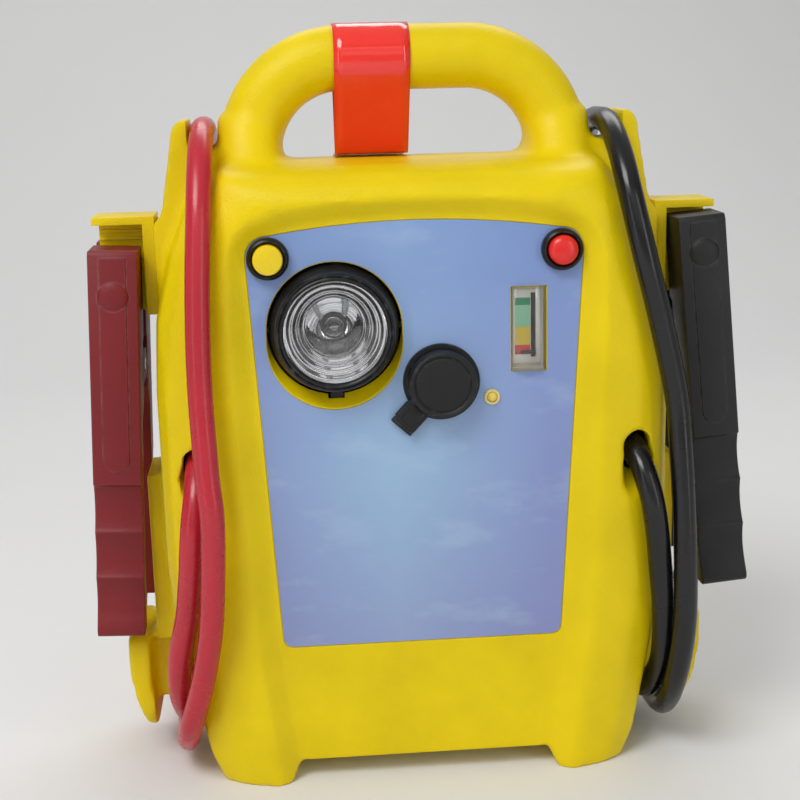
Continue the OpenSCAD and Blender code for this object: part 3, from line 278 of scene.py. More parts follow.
# %% Cables as round curves
def cable(name, points, radii):
    """A curve through the points, in metres, with its radius at each of them."""
    data = bpy.data.curves.new(name, "CURVE")
    data.dimensions = "3D"
    data.bevel_depth = 1.0
    data.bevel_resolution = 5
    data.resolution_u = 8
    data.use_fill_caps = True
    spline = data.splines.new("BEZIER")
    spline.bezier_points.add(len(points) - 1)
    last = len(points) - 1
    for k, (knot, point) in enumerate(zip(spline.bezier_points, points)):
        slope = (points[min(k + 1, last)] - points[max(k - 1, 0)]) / 6
        knot.handle_left_type = knot.handle_right_type = "FREE"
        knot.radius = radii[k]
        knot.co, knot.handle_left, knot.handle_right = point, point - slope, point + slope
    lead = bpy.data.objects.new(name, data)
    bpy.context.scene.collection.objects.link(lead)
    return lead


cables = {
    colour: cable(f"{colour}_jump_cable", route, [CABLE_R] * len(route)) for colour, route in routes.items()
}
for colour, lead in cables.items():
    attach(lead, "case")
    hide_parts(f"{colour}_cable")

# %% [markdown]
# ## Floor
# The pack stands on plain pale paper that curves up behind it. The paper is one
# edge drawn on step by step: along the floor, round the bend and up the wall.

# %% Paper
PAPER_HALF_W, PAPER_NEAR, PAPER_BEND, PAPER_BEND_R, PAPER_TOP = 3.0, -1.6, 0.9, 0.6, 2.6
BEND_STEPS = 12


def drawn_on(mesh, edges, step):
    """Extrudes a row of edges by a step in metres, and returns the new row."""
    grown = bmesh.ops.extrude_edge_only(mesh, edges=edges)["geom"]
    fresh = [g for g in grown if isinstance(g, bmesh.types.BMVert)]
    bmesh.ops.translate(mesh, vec=step, verts=fresh)
    return [g for g in grown if isinstance(g, bmesh.types.BMEdge) and all(v in fresh for v in g.verts)]


paper_mesh = bmesh.new()
near = [paper_mesh.verts.new((x, PAPER_NEAR, 0)) for x in (-PAPER_HALF_W, PAPER_HALF_W)]
row = [paper_mesh.edges.new(near)]
paper_steps = [(0, PAPER_BEND - PAPER_NEAR, 0)]
for k in range(BEND_STEPS):
    a = math.radians(90 * (k + 0.5) / BEND_STEPS)
    step = PAPER_BEND_R * math.radians(90 / BEND_STEPS)
    paper_steps.append((0, step * math.cos(a), step * math.sin(a)))
paper_steps.append((0, 0, PAPER_TOP))
for step in paper_steps:
    row = drawn_on(paper_mesh, row, step)
bmesh.ops.recalc_face_normals(paper_mesh, faces=paper_mesh.faces)
paper_data = bpy.data.meshes.new("paper")
paper_mesh.to_mesh(paper_data)
paper_mesh.free()
for face in paper_data.polygons:
    face.use_smooth = True
paper = bpy.data.objects.new("paper", paper_data)
bpy.context.scene.collection.objects.link(paper)
paper_finish = Finish("paper", (0.8, 0.8, 0.8), 0.9)
paper_shade = paper_finish.mix(paper_finish.noise(0.4), (0.79, 0.79, 0.79), (0.81, 0.81, 0.81))
paper_finish.set("Base Color", paper_shade)
paper_data.materials.append(paper_finish.material)
print("paper:", len(paper_data.polygons), "faces")

# %% [markdown]
# ## Lights and room
# Moulded plastic shows its shape by broad soft highlights with no hard shadow.
# A big light above and to the left does most of the work. A wide weak one in
# front, two narrow strips beside the pack and one behind it fill the shadows.
# The room itself is bands of grey from floor to ceiling, which only the polished
# bowl of the lamp mirrors clearly.


# %% Lights and room
def soft_light(name, place, target, size, power):
    """A rectangle of light at a place, turned to a target, all in metres and watts."""
    data = bpy.data.lights.new(name, "AREA")
    data.shape = "RECTANGLE"
    data.size, data.size_y = size
    data.energy = power
    lamp = bpy.data.objects.new(name, data)
    lamp.location = place
    lamp.rotation_euler = (Vector(target) - Vector(place)).to_track_quat("-Z", "Y").to_euler()
    lamp.visible_camera = False
    bpy.context.scene.collection.objects.link(lamp)
    print(name, power, "W")


soft_light("key", (-0.7, -0.9, 1.5), (0, 0, 0.2), (0.9, 0.7), 16)
soft_light("front", (0.15, -1.7, 1.0), (0, 0, 0.2), (1.7, 0.9), 2.5)
soft_light("left strip", (-0.95, -1.0, 0.45), (0, 0, 0.2), (0.16, 1.3), 1.6)
soft_light("right strip", (0.95, -1.1, 0.45), (0, 0, 0.2), (0.2, 1.3), 3)
soft_light("back", (0.2, 0.9, 1.3), (0, 0, 0.3), (1.2, 0.5), 6)
room = bpy.data.worlds.new("room")
room.use_nodes = True
sky = node(room.node_tree, "ShaderNodeTexCoord", out=0)
tall = node(room.node_tree, "ShaderNodeSeparateXYZ", {}, {0: sky}, 2)
ROOM_GREYS = [
    (0.0, 0.55), (0.3, 0.55), (0.34, 0.04), (0.42, 0.04), (0.48, 0.9), (0.58, 0.15), (0.7, 0.7), (1.0, 0.7),
]
stops = [(at, (grey, grey, grey)) for at, grey in ROOM_GREYS]
shade = node(room.node_tree, "ShaderNodeValToRGB", {"stops": stops}, {0: tall})
background = room.node_tree.nodes["Background"]
room.node_tree.links.new(shade.socket, background.inputs["Color"])
background.inputs["Strength"].default_value = 0.62
bpy.context.scene.world = room
bpy.context.scene.view_settings.view_transform = "Standard"

# %% [markdown]
# ## Finishes
# Every finish is a small program that reads the place on the object. Plastics
# get a fine grain in the bump, a slow drift in colour and gloss, and slightly
# lighter edges, partly rubbed wear and partly a painted highlight. One function
# makes them all, because they differ only in colour, gloss and grain. Rubber is
# the same with a duller face.


# %% Moulded plastics and rubber
DRIFT = 0.06


def plastic(name, colour, roughness, grain=0.0005, depth=0.00006, wear_and_highlight=0.25, worn=(0.52, 0.7), **fixed):
    """Moulded plastic: grain in the bump, slow drift in tone, lighter edges that are partly wear and partly
    painted highlight.
    """
    f = Finish(name, colour, roughness, **fixed)
    darker = tuple(c * (1 - DRIFT) for c in colour)
    lighter = tuple(min(1, c * (1 + DRIFT)) for c in colour)
    wear_and_highlight_colour = tuple(c + (1 - c) * 0.35 for c in colour)
    tone = f.mix(f.noise(0.05).ramp(0.35, 0.65), darker, lighter)
    scuffs_and_glints = f.noise(0.004, detail=6).ramp(*worn)
    # Lighter edges, broken up by noise: partly rubbed wear and partly a painted highlight.
    f.set("Base Color", f.mix(f.worn_and_lit_edges() * scuffs_and_glints * wear_and_highlight, tone, wear_and_highlight_colour))
    f.set("Roughness", f.noise(0.02, detail=6).ramp(0.3, 0.7, roughness - 0.05, roughness + 0.07))
    f.bump(f.noise(grain, detail=3, rough=0.6) + f.noise(grain * 3.1, detail=2) * 0.5, depth)
    FINISHES[name] = f
    return f


plastic("yellow_plastic", (0.80, 0.60, 0.002), 0.36, grain=0.0009, depth=0.00018, Specular_IOR_Level=0.22)
plastic("charcoal_plastic", (0.014, 0.014, 0.015), 0.42, Specular_IOR_Level=0.35)
plastic("gloss_black", (0.007, 0.007, 0.008), 0.33, grain=0.0006, depth=0.00003, Specular_IOR_Level=0.35)
plastic("relay", (0.03, 0.12, 0.32), 0.4)
plastic("black_rubber", (0.010, 0.010, 0.011), 0.5, grain=0.0004, depth=0.00012, Specular_IOR_Level=0.35)
# The grips' lighter edges are partly wear and partly a painted highlight.
GRIP_SURFACE = {"grain": 0.0007, "depth": 0.00014, "worn": (0.3, 0.65), "Specular_IOR_Level": 0.35}
plastic("red_plastic", (0.20, 0.013, 0.016), 0.45, wear_and_highlight=0.22, **GRIP_SURFACE)
plastic("black_clamp", (0.014, 0.014, 0.015), 0.45, wear_and_highlight=0.12, **GRIP_SURFACE)
plastic("red_sheath", (0.50, 0.018, 0.034), 0.27, grain=0.0011, depth=0.00003, wear_and_highlight=0)
plastic("black_sheath", (0.005, 0.005, 0.006), 0.24, grain=0.0011, depth=0.00003, wear_and_highlight=0)
plastic("yellow_button", (0.85, 0.62, 0.01), 0.25)
plastic("red_button", (0.75, 0.02, 0.015), 0.25)
plastic("ivory_plastic", (0.75, 0.70, 0.55), 0.4)
plastic("battery_shell", (0.05, 0.055, 0.06), 0.45)
plastic("foam", (0.03, 0.03, 0.035), 0.9, grain=0.0012, depth=0.0004)
plastic("board", (0.01, 0.09, 0.03), 0.35)
plastic("ceramic", (0.65, 0.65, 0.6), 0.5)
plastic("led_plastic", (0.85, 0.65, 0.12), 0.3)
plastic("needle_paint", (0.03, 0.03, 0.03), 0.4)
print(len(FINISHES), "plastics")

# %% [markdown]
# ## The meter's card
# A battery meter shows its charge on a small white card with a stack of coloured
# bands, from red at the bottom to green at the top. It is printed, so it is a
# finish and not a shape: each band starts at a height on the pack, and the stack
# is white again beside its two upright edges.

# %% Bands of the meter's card
WHITE = (0.92, 0.92, 0.9)
METER_BANDS = [
    (0.2099, (0.75, 0.03, 0.02)),
    (0.2144, (0.85, 0.62, 0.02)),
    (0.2231, (0.32, 0.72, 0.48)),
    (0.2336, (0.02, 0.36, 0.16)),
    (0.2372, WHITE),
]
BANDS_LEFT, BANDS_RIGHT = 0.0474, 0.0549
card = plastic("card", (0.85, 0.85, 0.82), 0.6)
card_height, card_across = card.axis("Z"), card.axis("X")
printed = WHITE
for foot, band in METER_BANDS:
    printed = card.mix(card_height.above(foot), printed, band)
striped = card.mix(card_across.above(BANDS_LEFT), WHITE, printed)
card.set("Base Color", card.mix(card_across.above(BANDS_RIGHT), striped, WHITE))
print("bands on the card:", len(METER_BANDS) - 1)

# %% [markdown]
# ## Bare metals
# The jaws are copper, the contact in the outlet is brass, and pins and springs
# are steel. Drawn and rolled metal has fine lines along one direction, so the
# noise that makes them is squeezed along Z. The lamp's bowl is polished, so it
# gets almost no bump, and what it mirrors gives it its look.


# %% Steel, copper, brass, lead and chrome
def metal(name, colour, roughness):
    """Bare metal with fine lines across Z and cloudy tarnish."""
    f = Finish(name, colour, roughness, Metallic=1.0)
    dull = tuple(c * 0.55 for c in colour)
    f.set("Base Color", f.mix(f.noise(0.006, detail=6).ramp(0.45, 0.75) * 0.5, colour, dull))
    lines = f.noise(0.0006, detail=3, stretch=(1, 1, 12))
    f.set("Roughness", lines.ramp(0.3, 0.7, roughness - 0.08, roughness + 0.1))
    f.bump(lines, 0.00003)
    FINISHES[name] = f


metal("steel", (0.60, 0.61, 0.63), 0.3)
metal("copper_jaw", (0.62, 0.33, 0.17), 0.35)
metal("brass_contact", (0.72, 0.52, 0.2), 0.3)
metal("lead_plates", (0.3, 0.3, 0.32), 0.5)
chrome = Finish("chrome_reflector", (0.93, 0.93, 0.95), 0.03, Metallic=1.0)
tarnish = chrome.noise(0.012, detail=5).ramp(0.5, 0.8) * 0.3
chrome.set("Base Color", chrome.mix(tarnish, (0.96, 0.96, 0.97), (0.8, 0.8, 0.82)))
chrome.set("Roughness", chrome.noise(0.008).ramp(0.4, 0.8, 0.02, 0.08))
chrome.bump(chrome.noise(0.006, detail=1), 0.00001)
FINISHES["chrome_reflector"] = chrome
print("metals ready,", len(FINISHES), "finishes so far")

# %% [markdown]
# ## Clear lens, label and tag films
# A thin clear moulding is hardly seen but for its reflection, so its finish is a
# mirror that is almost transparent face on and shows more at a slant. The label
# is a printed film: a blue ground, darker towards its sides and drawn over with
# thin clouds, under a clear coat, with a painted glare a little left of its
# middle. The tag is plain red film with a coat.


# %% Films and clear mouldings
def clear(name, gloss, haze):
    """A thin clear moulding: only its reflection shows, more at a slant, with a few smears."""
    f = Finish(name, (1, 1, 1), 0.03, Metallic=1.0)
    f.set("Roughness", f.noise(0.01).ramp(0.4, 0.8, 0.02, 0.07))
    slant = node(f.tree, "ShaderNodeFresnel", {}, {"IOR": gloss})
    f.set("Alpha", slant + f.noise(0.006, detail=5).ramp(0.45, 0.8, 0.0, haze))
    FINISHES[name] = f


clear("clear_lens", 1.45, 0.03)
clear("bulb_glass", 1.9, 0.12)

label = Finish("label_film", (0.27, 0.36, 0.6), 0.2, Coat_Weight=0.4, Coat_Roughness=0.06)
height = label.axis("Z").ramp(0.07, 0.277)
sideways = (label.axis("X") + 0.012).math("ABSOLUTE").ramp(0.0, 0.075)
cloud = label.noise(0.11, detail=3, rough=0.45).ramp(0.3, 0.7)
wisps = label.noise(0.06, detail=7, rough=0.6, stretch=(1, 1, 2.4)).ramp(0.54, 0.75)
low = label.mix(sideways, (0.27, 0.34, 0.58), (0.22, 0.24, 0.49))
high = label.mix(sideways, (0.25, 0.39, 0.68), (0.20, 0.30, 0.60))
tone = label.mix(height, low, high)
# A painted glare: a paler patch at mid height, a little left of the label's middle.
middle = (1 - (height - 0.42).math("ABSOLUTE").ramp(0.0, 0.45)) * (1 - sideways) * 0.75
tone = label.mix(middle, tone, (0.30, 0.50, 0.68))
tone = label.mix(cloud * 0.25, tone, (0.24, 0.36, 0.66))
label.set("Base Color", label.mix(wisps * 0.3, tone, (0.48, 0.66, 0.78)))
label.bump(label.noise(0.03, detail=2) + label.noise(0.0004) * 0.01, 0.0002)
FINISHES["label_film"] = label

tag = Finish("tag_film", (0.86, 0.025, 0.015), 0.16, Coat_Weight=0.6, Coat_Roughness=0.05)
tag.set("Base Color", tag.mix(tag.noise(0.02), (0.84, 0.02, 0.012), (0.9, 0.035, 0.02)))
tag.bump(tag.noise(0.012, detail=3), 0.0004)
FINISHES["tag_film"] = tag
print(len(FINISHES), "finishes in all")

# %% [markdown]
# ## Building pieces
# Most moulded parts are a flat outline given a depth, or a profile turned round
# an axis. Two helpers make these: one extrudes a face, the other spins a line of
# edges. A third wraps points in their convex hull, for forms that swell from
# one outline to another. Openings are cut afterwards with Boolean modifiers,
# whose result replaces the mesh.

# %% Arcs and plates
ACROSS = {
    "x": lambda p, t: (t, p[0], p[1]),
    "y": lambda p, t: (p[0], t, p[1]),
    "z": lambda p, t: (p[0], p[1], t),
}


def arc(x, z, r, degrees):
    """Points on a circle about (x, z), at these angles."""
    return [(x + r * math.cos(math.radians(a)), z + r * math.sin(math.radians(a))) for a in degrees]


def slab(points, axis, low, high):
    """A closed plate in millimetres: an outline drawn across the axis, from low to high."""
    mesh = bmesh.new()
    face = mesh.faces.new([mesh.verts.new(Vector(ACROSS[axis](p, low)) * MM) for p in points])
    grown = bmesh.ops.extrude_face_region(mesh, geom=[face], use_keep_orig=True)["geom"]
    fresh = [g for g in grown if isinstance(g, bmesh.types.BMVert)]
    bmesh.ops.translate(mesh, vec=Vector(ACROSS[axis]((0, 0), high - low)) * MM, verts=fresh)
    bmesh.ops.recalc_face_normals(mesh, faces=mesh.faces)
    return mesh


def block(low, high):
    """A box between two corners, in millimetres."""
    outline = [(low[0], low[2]), (high[0], low[2]), (high[0], high[2]), (low[0], high[2])]
    return slab(outline, "y", low[1], high[1])


# %% Turned profiles
# For each axis, which way the heights and the radii of a profile run.
SPUN = {"y": ((0, -1, 0), (1, 0, 0)), "x": ((1, 0, 0), (0, 0, 1))}
ROUND = 96


def turned(profile, centre, axis="y", closed=False, steps=72):
    """A profile of (radius, height) points in millimetres, spun round an axis.

    Heights run towards -Y, or along X where the axis is x.
    """
    mesh = bmesh.new()
    middle = Vector(centre) * MM
    up, out = (Vector(v) for v in SPUN[axis])
    dots = [mesh.verts.new(middle + (out * r + up * h) * MM) for r, h in profile]
    pairs = list(zip(dots, dots[1:])) + ([(dots[-1], dots[0])] if closed else [])
    lines = [mesh.edges.new(pair) for pair in pairs]
    bmesh.ops.spin(
        mesh, geom=dots + lines, cent=middle, axis=up, angle=math.tau, steps=steps, use_merge=True,
        use_duplicate=False,
    )
    bmesh.ops.remove_doubles(mesh, verts=mesh.verts, dist=1e-6)
    bmesh.ops.recalc_face_normals(mesh, faces=mesh.faces)
    return mesh


# %% Hulls and rings
def wrapped(points):
    """The convex hull of points in millimetres."""
    mesh = bmesh.new()
    for p in points:
        mesh.verts.new(Vector(p) * MM)
    hull = bmesh.ops.convex_hull(mesh, input=mesh.verts)
    spare = set(hull["geom_interior"]) | set(hull["geom_unused"])
    inside = [g for g in spare if isinstance(g, bmesh.types.BMVert)]
    bmesh.ops.delete(mesh, geom=inside, context="VERTS")
    bmesh.ops.recalc_face_normals(mesh, faces=mesh.faces)
    return mesh


def ring(radius, centre, axis, steps=32):
    """Points round a circle in millimetres, across the axis."""
    turns = [math.tau * k / steps for k in range(steps)]
    spokes = [ACROSS[axis]((radius * math.cos(t), radius * math.sin(t)), 0) for t in turns]
    return [tuple(c + d for c, d in zip(centre, spoke)) for spoke in spokes]


# %% Rounding, mirroring and gathering
def rounded(mesh, edges, width, segments=2, clamp=False):
    """Rounds edges of a mesh, by a width in millimetres."""
    bmesh.ops.bevel(
        mesh, geom=edges, offset=width * MM, segments=segments, affect="EDGES", profile=0.5, material=-1,
        clamp_overlap=clamp,
    )


def mirrored(mesh):
    """A copy on the other side of the pack."""
    twin = mesh.copy()
    bmesh.ops.scale(twin, vec=(-1, 1, 1), verts=twin.verts)
    bmesh.ops.recalc_face_normals(twin, faces=twin.faces)
    return twin


def gathered(meshes):
    """Several meshes as one."""
    whole = bmesh.new()
    for mesh in meshes:
        step = bpy.data.meshes.new("step")
        mesh.to_mesh(step)
        mesh.free()
        whole.from_mesh(step)
        bpy.data.meshes.remove(step)
    return whole


print("shape helpers ready")


# %% Objects and modifiers
def as_object(name, mesh):
    """A mesh as an object of the scene, at the origin."""
    data = bpy.data.meshes.new(name)
    mesh.to_mesh(data)
    mesh.free()
    made = bpy.data.objects.new(name, data)
    bpy.context.scene.collection.objects.link(made)
    return made


def modified(thing, kind, **settings):
    """Applies one modifier and keeps its result as the mesh."""
    change = thing.modifiers.new(kind.lower(), kind)
    for name, value in settings.items():
        setattr(change, name, value)
    result = bpy.data.meshes.new_from_object(thing.evaluated_get(bpy.context.evaluated_depsgraph_get()))
    thing.modifiers.clear()
    thing.data = result


def carved(thing, tool, operation="DIFFERENCE"):
    """Cuts, joins or crosses the object with a closed mesh."""
    cutter = as_object("cutter", tool)
    modified(thing, "BOOLEAN", operation=operation, solver="MANIFOLD", object=cutter)
    bpy.data.objects.remove(cutter)


def mesh_of(thing):
    """An object's mesh, to be worked on."""
    mesh = bmesh.new()
    mesh.from_mesh(thing.data)
    return mesh


# %% Finishing a piece
def piece(thing, body, slot, stands_for=(), finish=None, sharp=35):
    """Gives an object its finish and its body, and hides the solids it stands for."""
    if isinstance(thing, tuple):
        thing = as_object(*thing)
    thing.data.materials.clear()
    thing.data.materials.append(FINISHES[finish or slot].material)
    thing.data.polygons.foreach_set("use_smooth", [True] * len(thing.data.polygons))
    thing.data.set_sharp_from_angle(angle=math.radians(sharp))
    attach(thing, body)
    if stands_for:
        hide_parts(*stands_for)
    print(thing.name, len(thing.data.polygons), "faces")
    return thing


for colour, lead in cables.items():
    lead.data.materials.append(FINISHES[f"{colour}_sheath"].material)

# %% [markdown]
# ## The housing
# The housing is a soft form: wide pillars that swell out of a flat panel, a thick
# round handle that melts into the shoulders, and reels at the sides. A maker of
# the mould would blend all these forms, so they are built as simple overlapping
# solids, melted into one skin with a voxel remesh and smoothed. The crisp edges
# of a moulding, such as the rim of the lamp's opening, are cut afterwards.

# %% Outlines of the trunk
SHOULDER, HANDLE, TOP, GRIP_R = 302, 90, 365, 15.5
FRONT, PANEL, REAR, SIDE = 56, 49.6, 60, 22
FRONT_FALL, REAR_FALL = 11, 22
WALL, FRONT_INNER = 3, 46


def flank_line(i=0):
    """Right half of the trunk's outline where it is widest, i inside its skin."""
    return [
        (102 - i, i), (107 - i, 14), (110 - i, 34), (121 - i, 76), (124.2 - i, 110), (124.4 - i, 195),
        (122.5 - i, 230), (115 - i, 260), (104 - i, 287), (90 - i, SHOULDER - i),
    ]


def face_line(i=0):
    """The same where the flank turns towards the face."""
    return [
        (100 - i, i), (106 - i, 14), (109 - i, 34), (116.5 - i, 76), (118 - i, 110), (118 - i, 195),
        (113 - i, 230), (106 - i, 259), (98 - i, 283), (86 - i, 298 - i),
    ]


def crest_line(i=0):
    """The same on the face, where the pillars are highest."""
    return [
        (76 - i, i), (78 - i, 14), (81 - i, 34), (85 - i, 76), (87 - i, 110), (88 - i, 195), (88 - i, 230),
        (85 - i, 256), (77 - i, 273), (61 - i, 286 - i),
    ]


def between(a, b, t):
    """An outline at share t of the way from a to b."""
    return [tuple(u + (v - u) * t for u, v in zip(p, q)) for p, q in zip(a, b)]


def both(points):
    """An outline of one side, and its mirror image, as one loop."""
    return points + [(-x, z) for x, z in reversed(points)]


def trunk(side, i, face, fall):
    """Front (-1) or rear (1) half of the trunk, i inside its skin."""
    flank, edge = SIDE - i / 2, face - fall
    plates = [
        (flank, flank_line(i)),
        (flank + 0.55 * (edge - flank), between(flank_line(i), face_line(i), 0.2)),
        (edge, face_line(i)),
        (edge + 0.6 * (face - edge), between(face_line(i), crest_line(i), 0.4)),
        (face, crest_line(i)),
    ]
    swell = wrapped([(x, side * y, z) for y, line in plates for x, z in both(line)])
    return [slab(both(flank_line(i)), "y", -0.5 * side, side * flank), swell]


print("trunk is", 2 * max(x for x, _ in flank_line()), "mm wide")


# %% Handle
LEG_X, LEG_SUNK, HANDLE_BEND = HANDLE - GRIP_R, 24, 44.5


def handle_bar(radius):
    """A round bar: up one leg, over two bends and down the other leg."""
    mesh = bmesh.new()
    foot = Matrix.Translation(Vector((-LEG_X, 0, SHOULDER - LEG_SUNK)) * MM)
    bmesh.ops.create_circle(mesh, segments=40, radius=radius * MM, matrix=foot)
    rim = list(mesh.edges)
    bend_z = TOP - GRIP_R - HANDLE_BEND

    def bent(rim, x):
        ends = list({v for e in rim for v in e.verts})
        turned_rim = bmesh.ops.spin(
            mesh, geom=rim + ends, cent=Vector((x, 0, bend_z)) * MM, axis=(0, 1, 0),
            angle=math.radians(90), steps=14, use_merge=False, use_duplicate=False,
        )["geom_last"]
        return [g for g in turned_rim if isinstance(g, bmesh.types.BMEdge)]

    rise = Vector((0, 0, bend_z - SHOULDER + LEG_SUNK)) * MM
    rim = drawn_on(mesh, rim, rise)
    rim = bent(rim, HANDLE_BEND - LEG_X)
    rim = drawn_on(mesh, rim, Vector((2 * (LEG_X - HANDLE_BEND), 0, 0)) * MM)
    rim = bent(rim, LEG_X - HANDLE_BEND)
    drawn_on(mesh, rim, -rise)
    bmesh.ops.remove_doubles(mesh, verts=mesh.verts, dist=1e-6)
    bmesh.ops.holes_fill(mesh, edges=mesh.edges)
    bmesh.ops.recalc_face_normals(mesh, faces=mesh.faces)
    return mesh


def handle_feet(side, face):
    """Each leg leans into the pillar below it, towards a ball just under the face."""
    r = 15
    low = (LEG_X, side * (face - r - 2), SHOULDER - 44)
    ball = []
    for a in [math.tau * k / 20 for k in range(20)]:
        for b in [math.pi * (k - 5) / 10 for k in range(11)]:
            level = low[0] + r * math.cos(a) * math.cos(b), low[1] + r * math.sin(a) * math.cos(b)
            ball.append((*level, low[2] + r * math.sin(b)))
    leg = ring(15.3, (LEG_X, 0, SHOULDER + 22), "z") + ring(r, (LEG_X, 0, SHOULDER - 34), "z")
    right = wrapped(leg + ball)
    return [mirrored(right), right]


print("handle opening", 2 * (HANDLE - 2 * GRIP_R), "mm wide")

# %% Reels at the sides
WING = [
    (78, 227), (121.5, 227), (121.5, 274.6), (117.5, 279.2), (110.5, 319.5), (107.5, 322.5), (103, 322.5),
    (103, 309), (78, 309),
]
EAR_IN, EAR_OUT, EAR_LOW, EAR_TOP, EAR_DEEP = 135.5, 146.5, 18, 69.5, 24.5


def ear():
    """Lower lip: it leans in at its foot, and its lower corners are round."""
    r = 13
    outline = arc(EAR_DEEP - r, EAR_LOW + r, r, range(-90, 1, 15))
    outline += [
        (EAR_DEEP, EAR_TOP - 3), (EAR_DEEP - 3, EAR_TOP), (3 - EAR_DEEP, EAR_TOP), (-EAR_DEEP, EAR_TOP - 3),
    ]
    outline += arc(r - EAR_DEEP, EAR_LOW + r, r, range(180, 271, 15))
    lean = [
        (EAR_IN, EAR_TOP + 1), (EAR_OUT, EAR_TOP + 1), (EAR_OUT, 51), (144, 36), (141.5, 27), (138, 17),
        (133.5, 17), (EAR_IN, 48),
    ]
    lip = as_object("lip", slab(outline, "x", 130, 150))
    carved(lip, slab(lean, "y", -30, 30), "INTERSECT")
    mesh = mesh_of(lip)
    bpy.data.objects.remove(lip)
    return mesh


REEL_HALF_D, CORE_HALF_D = 18, 13
wing = slab(WING, "y", -REEL_HALF_D, REEL_HALF_D)
web = block((100, -REEL_HALF_D, 66), (132.3, REEL_HALF_D, 152))
core = block((100, -CORE_HALF_D, 32), (EAR_IN + 1, CORE_HALF_D, 68))
right_reel = gathered([wing, core, web, ear()])
print("reel:", len(right_reel.faces), "faces")

# %% [markdown]
# ## Panel and openings
# The panel is sunk between the pillars and its edge follows the label, so both
# come from one half outline: an arc round each switch and a shallow curve over
# the top. The panel's slopes are the hull of a small outline at its floor and a
# wider one in front of the face. A short arch parts the two feet, and each cable
# leaves by a round hole with a groove that leads it down the face.

# %% Outlines of the panel, the label and the openings
SWITCH_X, SWITCH_Z = 68, 261
HOLE_X, HOLE_Z, HOLE_R = 105, 164, 7.05
PANEL_SLOPE = 10


def label_top(c, lift=0.0):
    """Top of the label's outline, from its right edge to its middle, c inside it."""
    r = 10.6 - c
    rise = 277 + lift - c - SWITCH_Z - r
    shallow = [(SWITCH_X * k / 5, SWITCH_Z + r + rise * (1 - k * k / 25)) for k in range(5, -1, -1)]
    return arc(SWITCH_X, SWITCH_Z, r, range(0, 90, 10)) + shallow


def whole(half):
    """A half outline that ends in the middle, and its mirror image, as one loop."""
    return half + [(-x, z) for x, z in reversed(half[:-1])]


def panel_outline(c):
    """Outline of the sunk panel, c inside its edge; it runs on to the floor."""
    return whole([(61 - c, -3), (66 - c, 43), (70.5 - c, 70.5)] + label_top(c - 1, 0.5))


def panel_hollow():
    """What the panel takes out of the face."""
    over = FRONT + 1.5
    grown = PANEL_SLOPE * (over - PANEL) / (FRONT - PANEL)
    points = [(x, -PANEL, z) for x, z in panel_outline(0)]
    return wrapped(points + [(x, -over, z) for x, z in panel_outline(-grown)])


def arch(grown=0):
    """The low gap between the feet, right through the pack."""
    outline = [(68 + grown, -3), (62 + grown, 10 + grown), (-62 - grown, 10 + grown), (-68 - grown, -3)]
    return slab(outline, "y", -70, 70)


def cable_ways():
    """The right cable's hole, and the groove that leads the cable down the face."""
    ways = []
    for lift in (0, 1.5):
        ways.append(turned([(0, 30), (HOLE_R, 30), (HOLE_R, 66), (0, 66)], (HOLE_X, 0, HOLE_Z + lift)))
    for out, start, rise, tilt, extra in ((0.2, 34, -0.6, 22, 0.4), (1, 43, -4, 46, 0.9)):
        r = HOLE_R + extra
        way = turned([(0, 0), (r, 0), (r, 26), (0, 26)], (0, 0, 0))
        turn = Matrix.Rotation(math.radians(tilt), 4, "X")
        way.transform(Matrix.Translation(Vector((HOLE_X + out, -start, HOLE_Z + rise)) * MM) @ turn)
        ways.append(way)
    return ways


LABEL_CORNER, LABEL_FOOT_X, LABEL_FOOT_Z = 4.5, 68.5, 70.5
label_corner = arc(LABEL_FOOT_X - LABEL_CORNER, LABEL_FOOT_Z + LABEL_CORNER, LABEL_CORNER, range(-90, 1, 15))
label_outline = whole(label_corner + label_top(0))
print("label:", len(label_outline), "points")

# %% Melt the forms into one skin
skin = as_object(
    "skin",
    gathered(
        trunk(-1, 0, FRONT, FRONT_FALL) + trunk(1, 0, REAR, REAR_FALL) + [handle_bar(GRIP_R)]
        + handle_feet(-1, FRONT) + handle_feet(1, REAR) + [mirrored(right_reel), right_reel]
    ),
)
VOXEL = 1.5 * MM
modified(skin, "REMESH", mode="VOXEL", voxel_size=VOXEL)
carved(skin, panel_hollow())
carved(skin, arch())
for way in cable_ways():
    carved(skin, mirrored(way))
    carved(skin, way)
modified(skin, "REMESH", mode="VOXEL", voxel_size=VOXEL)
modified(skin, "SMOOTH", factor=0.5, iterations=6)
print("skin:", len(skin.data.polygons), "faces")

# %% Soften the roots of the handle
ROOT_X, ROOT_Z, ROOT_REACH = 68, 300, 34
roots = skin.vertex_groups.new(name="roots")
for vertex in skin.data.vertices:
    x, y, z = vertex.co / MM
    near_x = max(0.0, 1 - abs(abs(x) - ROOT_X) / ROOT_REACH)
    near = near_x * max(0.0, 1 - abs(z - ROOT_Z) / ROOT_REACH)
    if near > 0:
        roots.add([vertex.index], min(1.0, 1.6 * near), "REPLACE")
modified(skin, "SMOOTH", factor=0.5, iterations=60, vertex_group="roots")
print("roots smoothed round x", ROOT_X, "z", ROOT_Z)


# %% Places of the openings
LAMP = (-38.5, -42, 227)
LAMP_DROP = 6.4
CHARGE_X, CHARGE_Z = 34.8, 192
OUTLET = (10.8, 0, 200.5)
SEAM = 0.12
METER_LOW, METER_HIGH = (44.2, 204), (60.8, 244)
JACK_X, JACK_Z = 48, 238
SCREWS = ((98, 38), (104, 122), (104, 214), (26, 288))
SCREW_WELL = [(0, -90), (4, -90), (4, -30), (2.05, -30), (2.05, 2), (0, 2)]


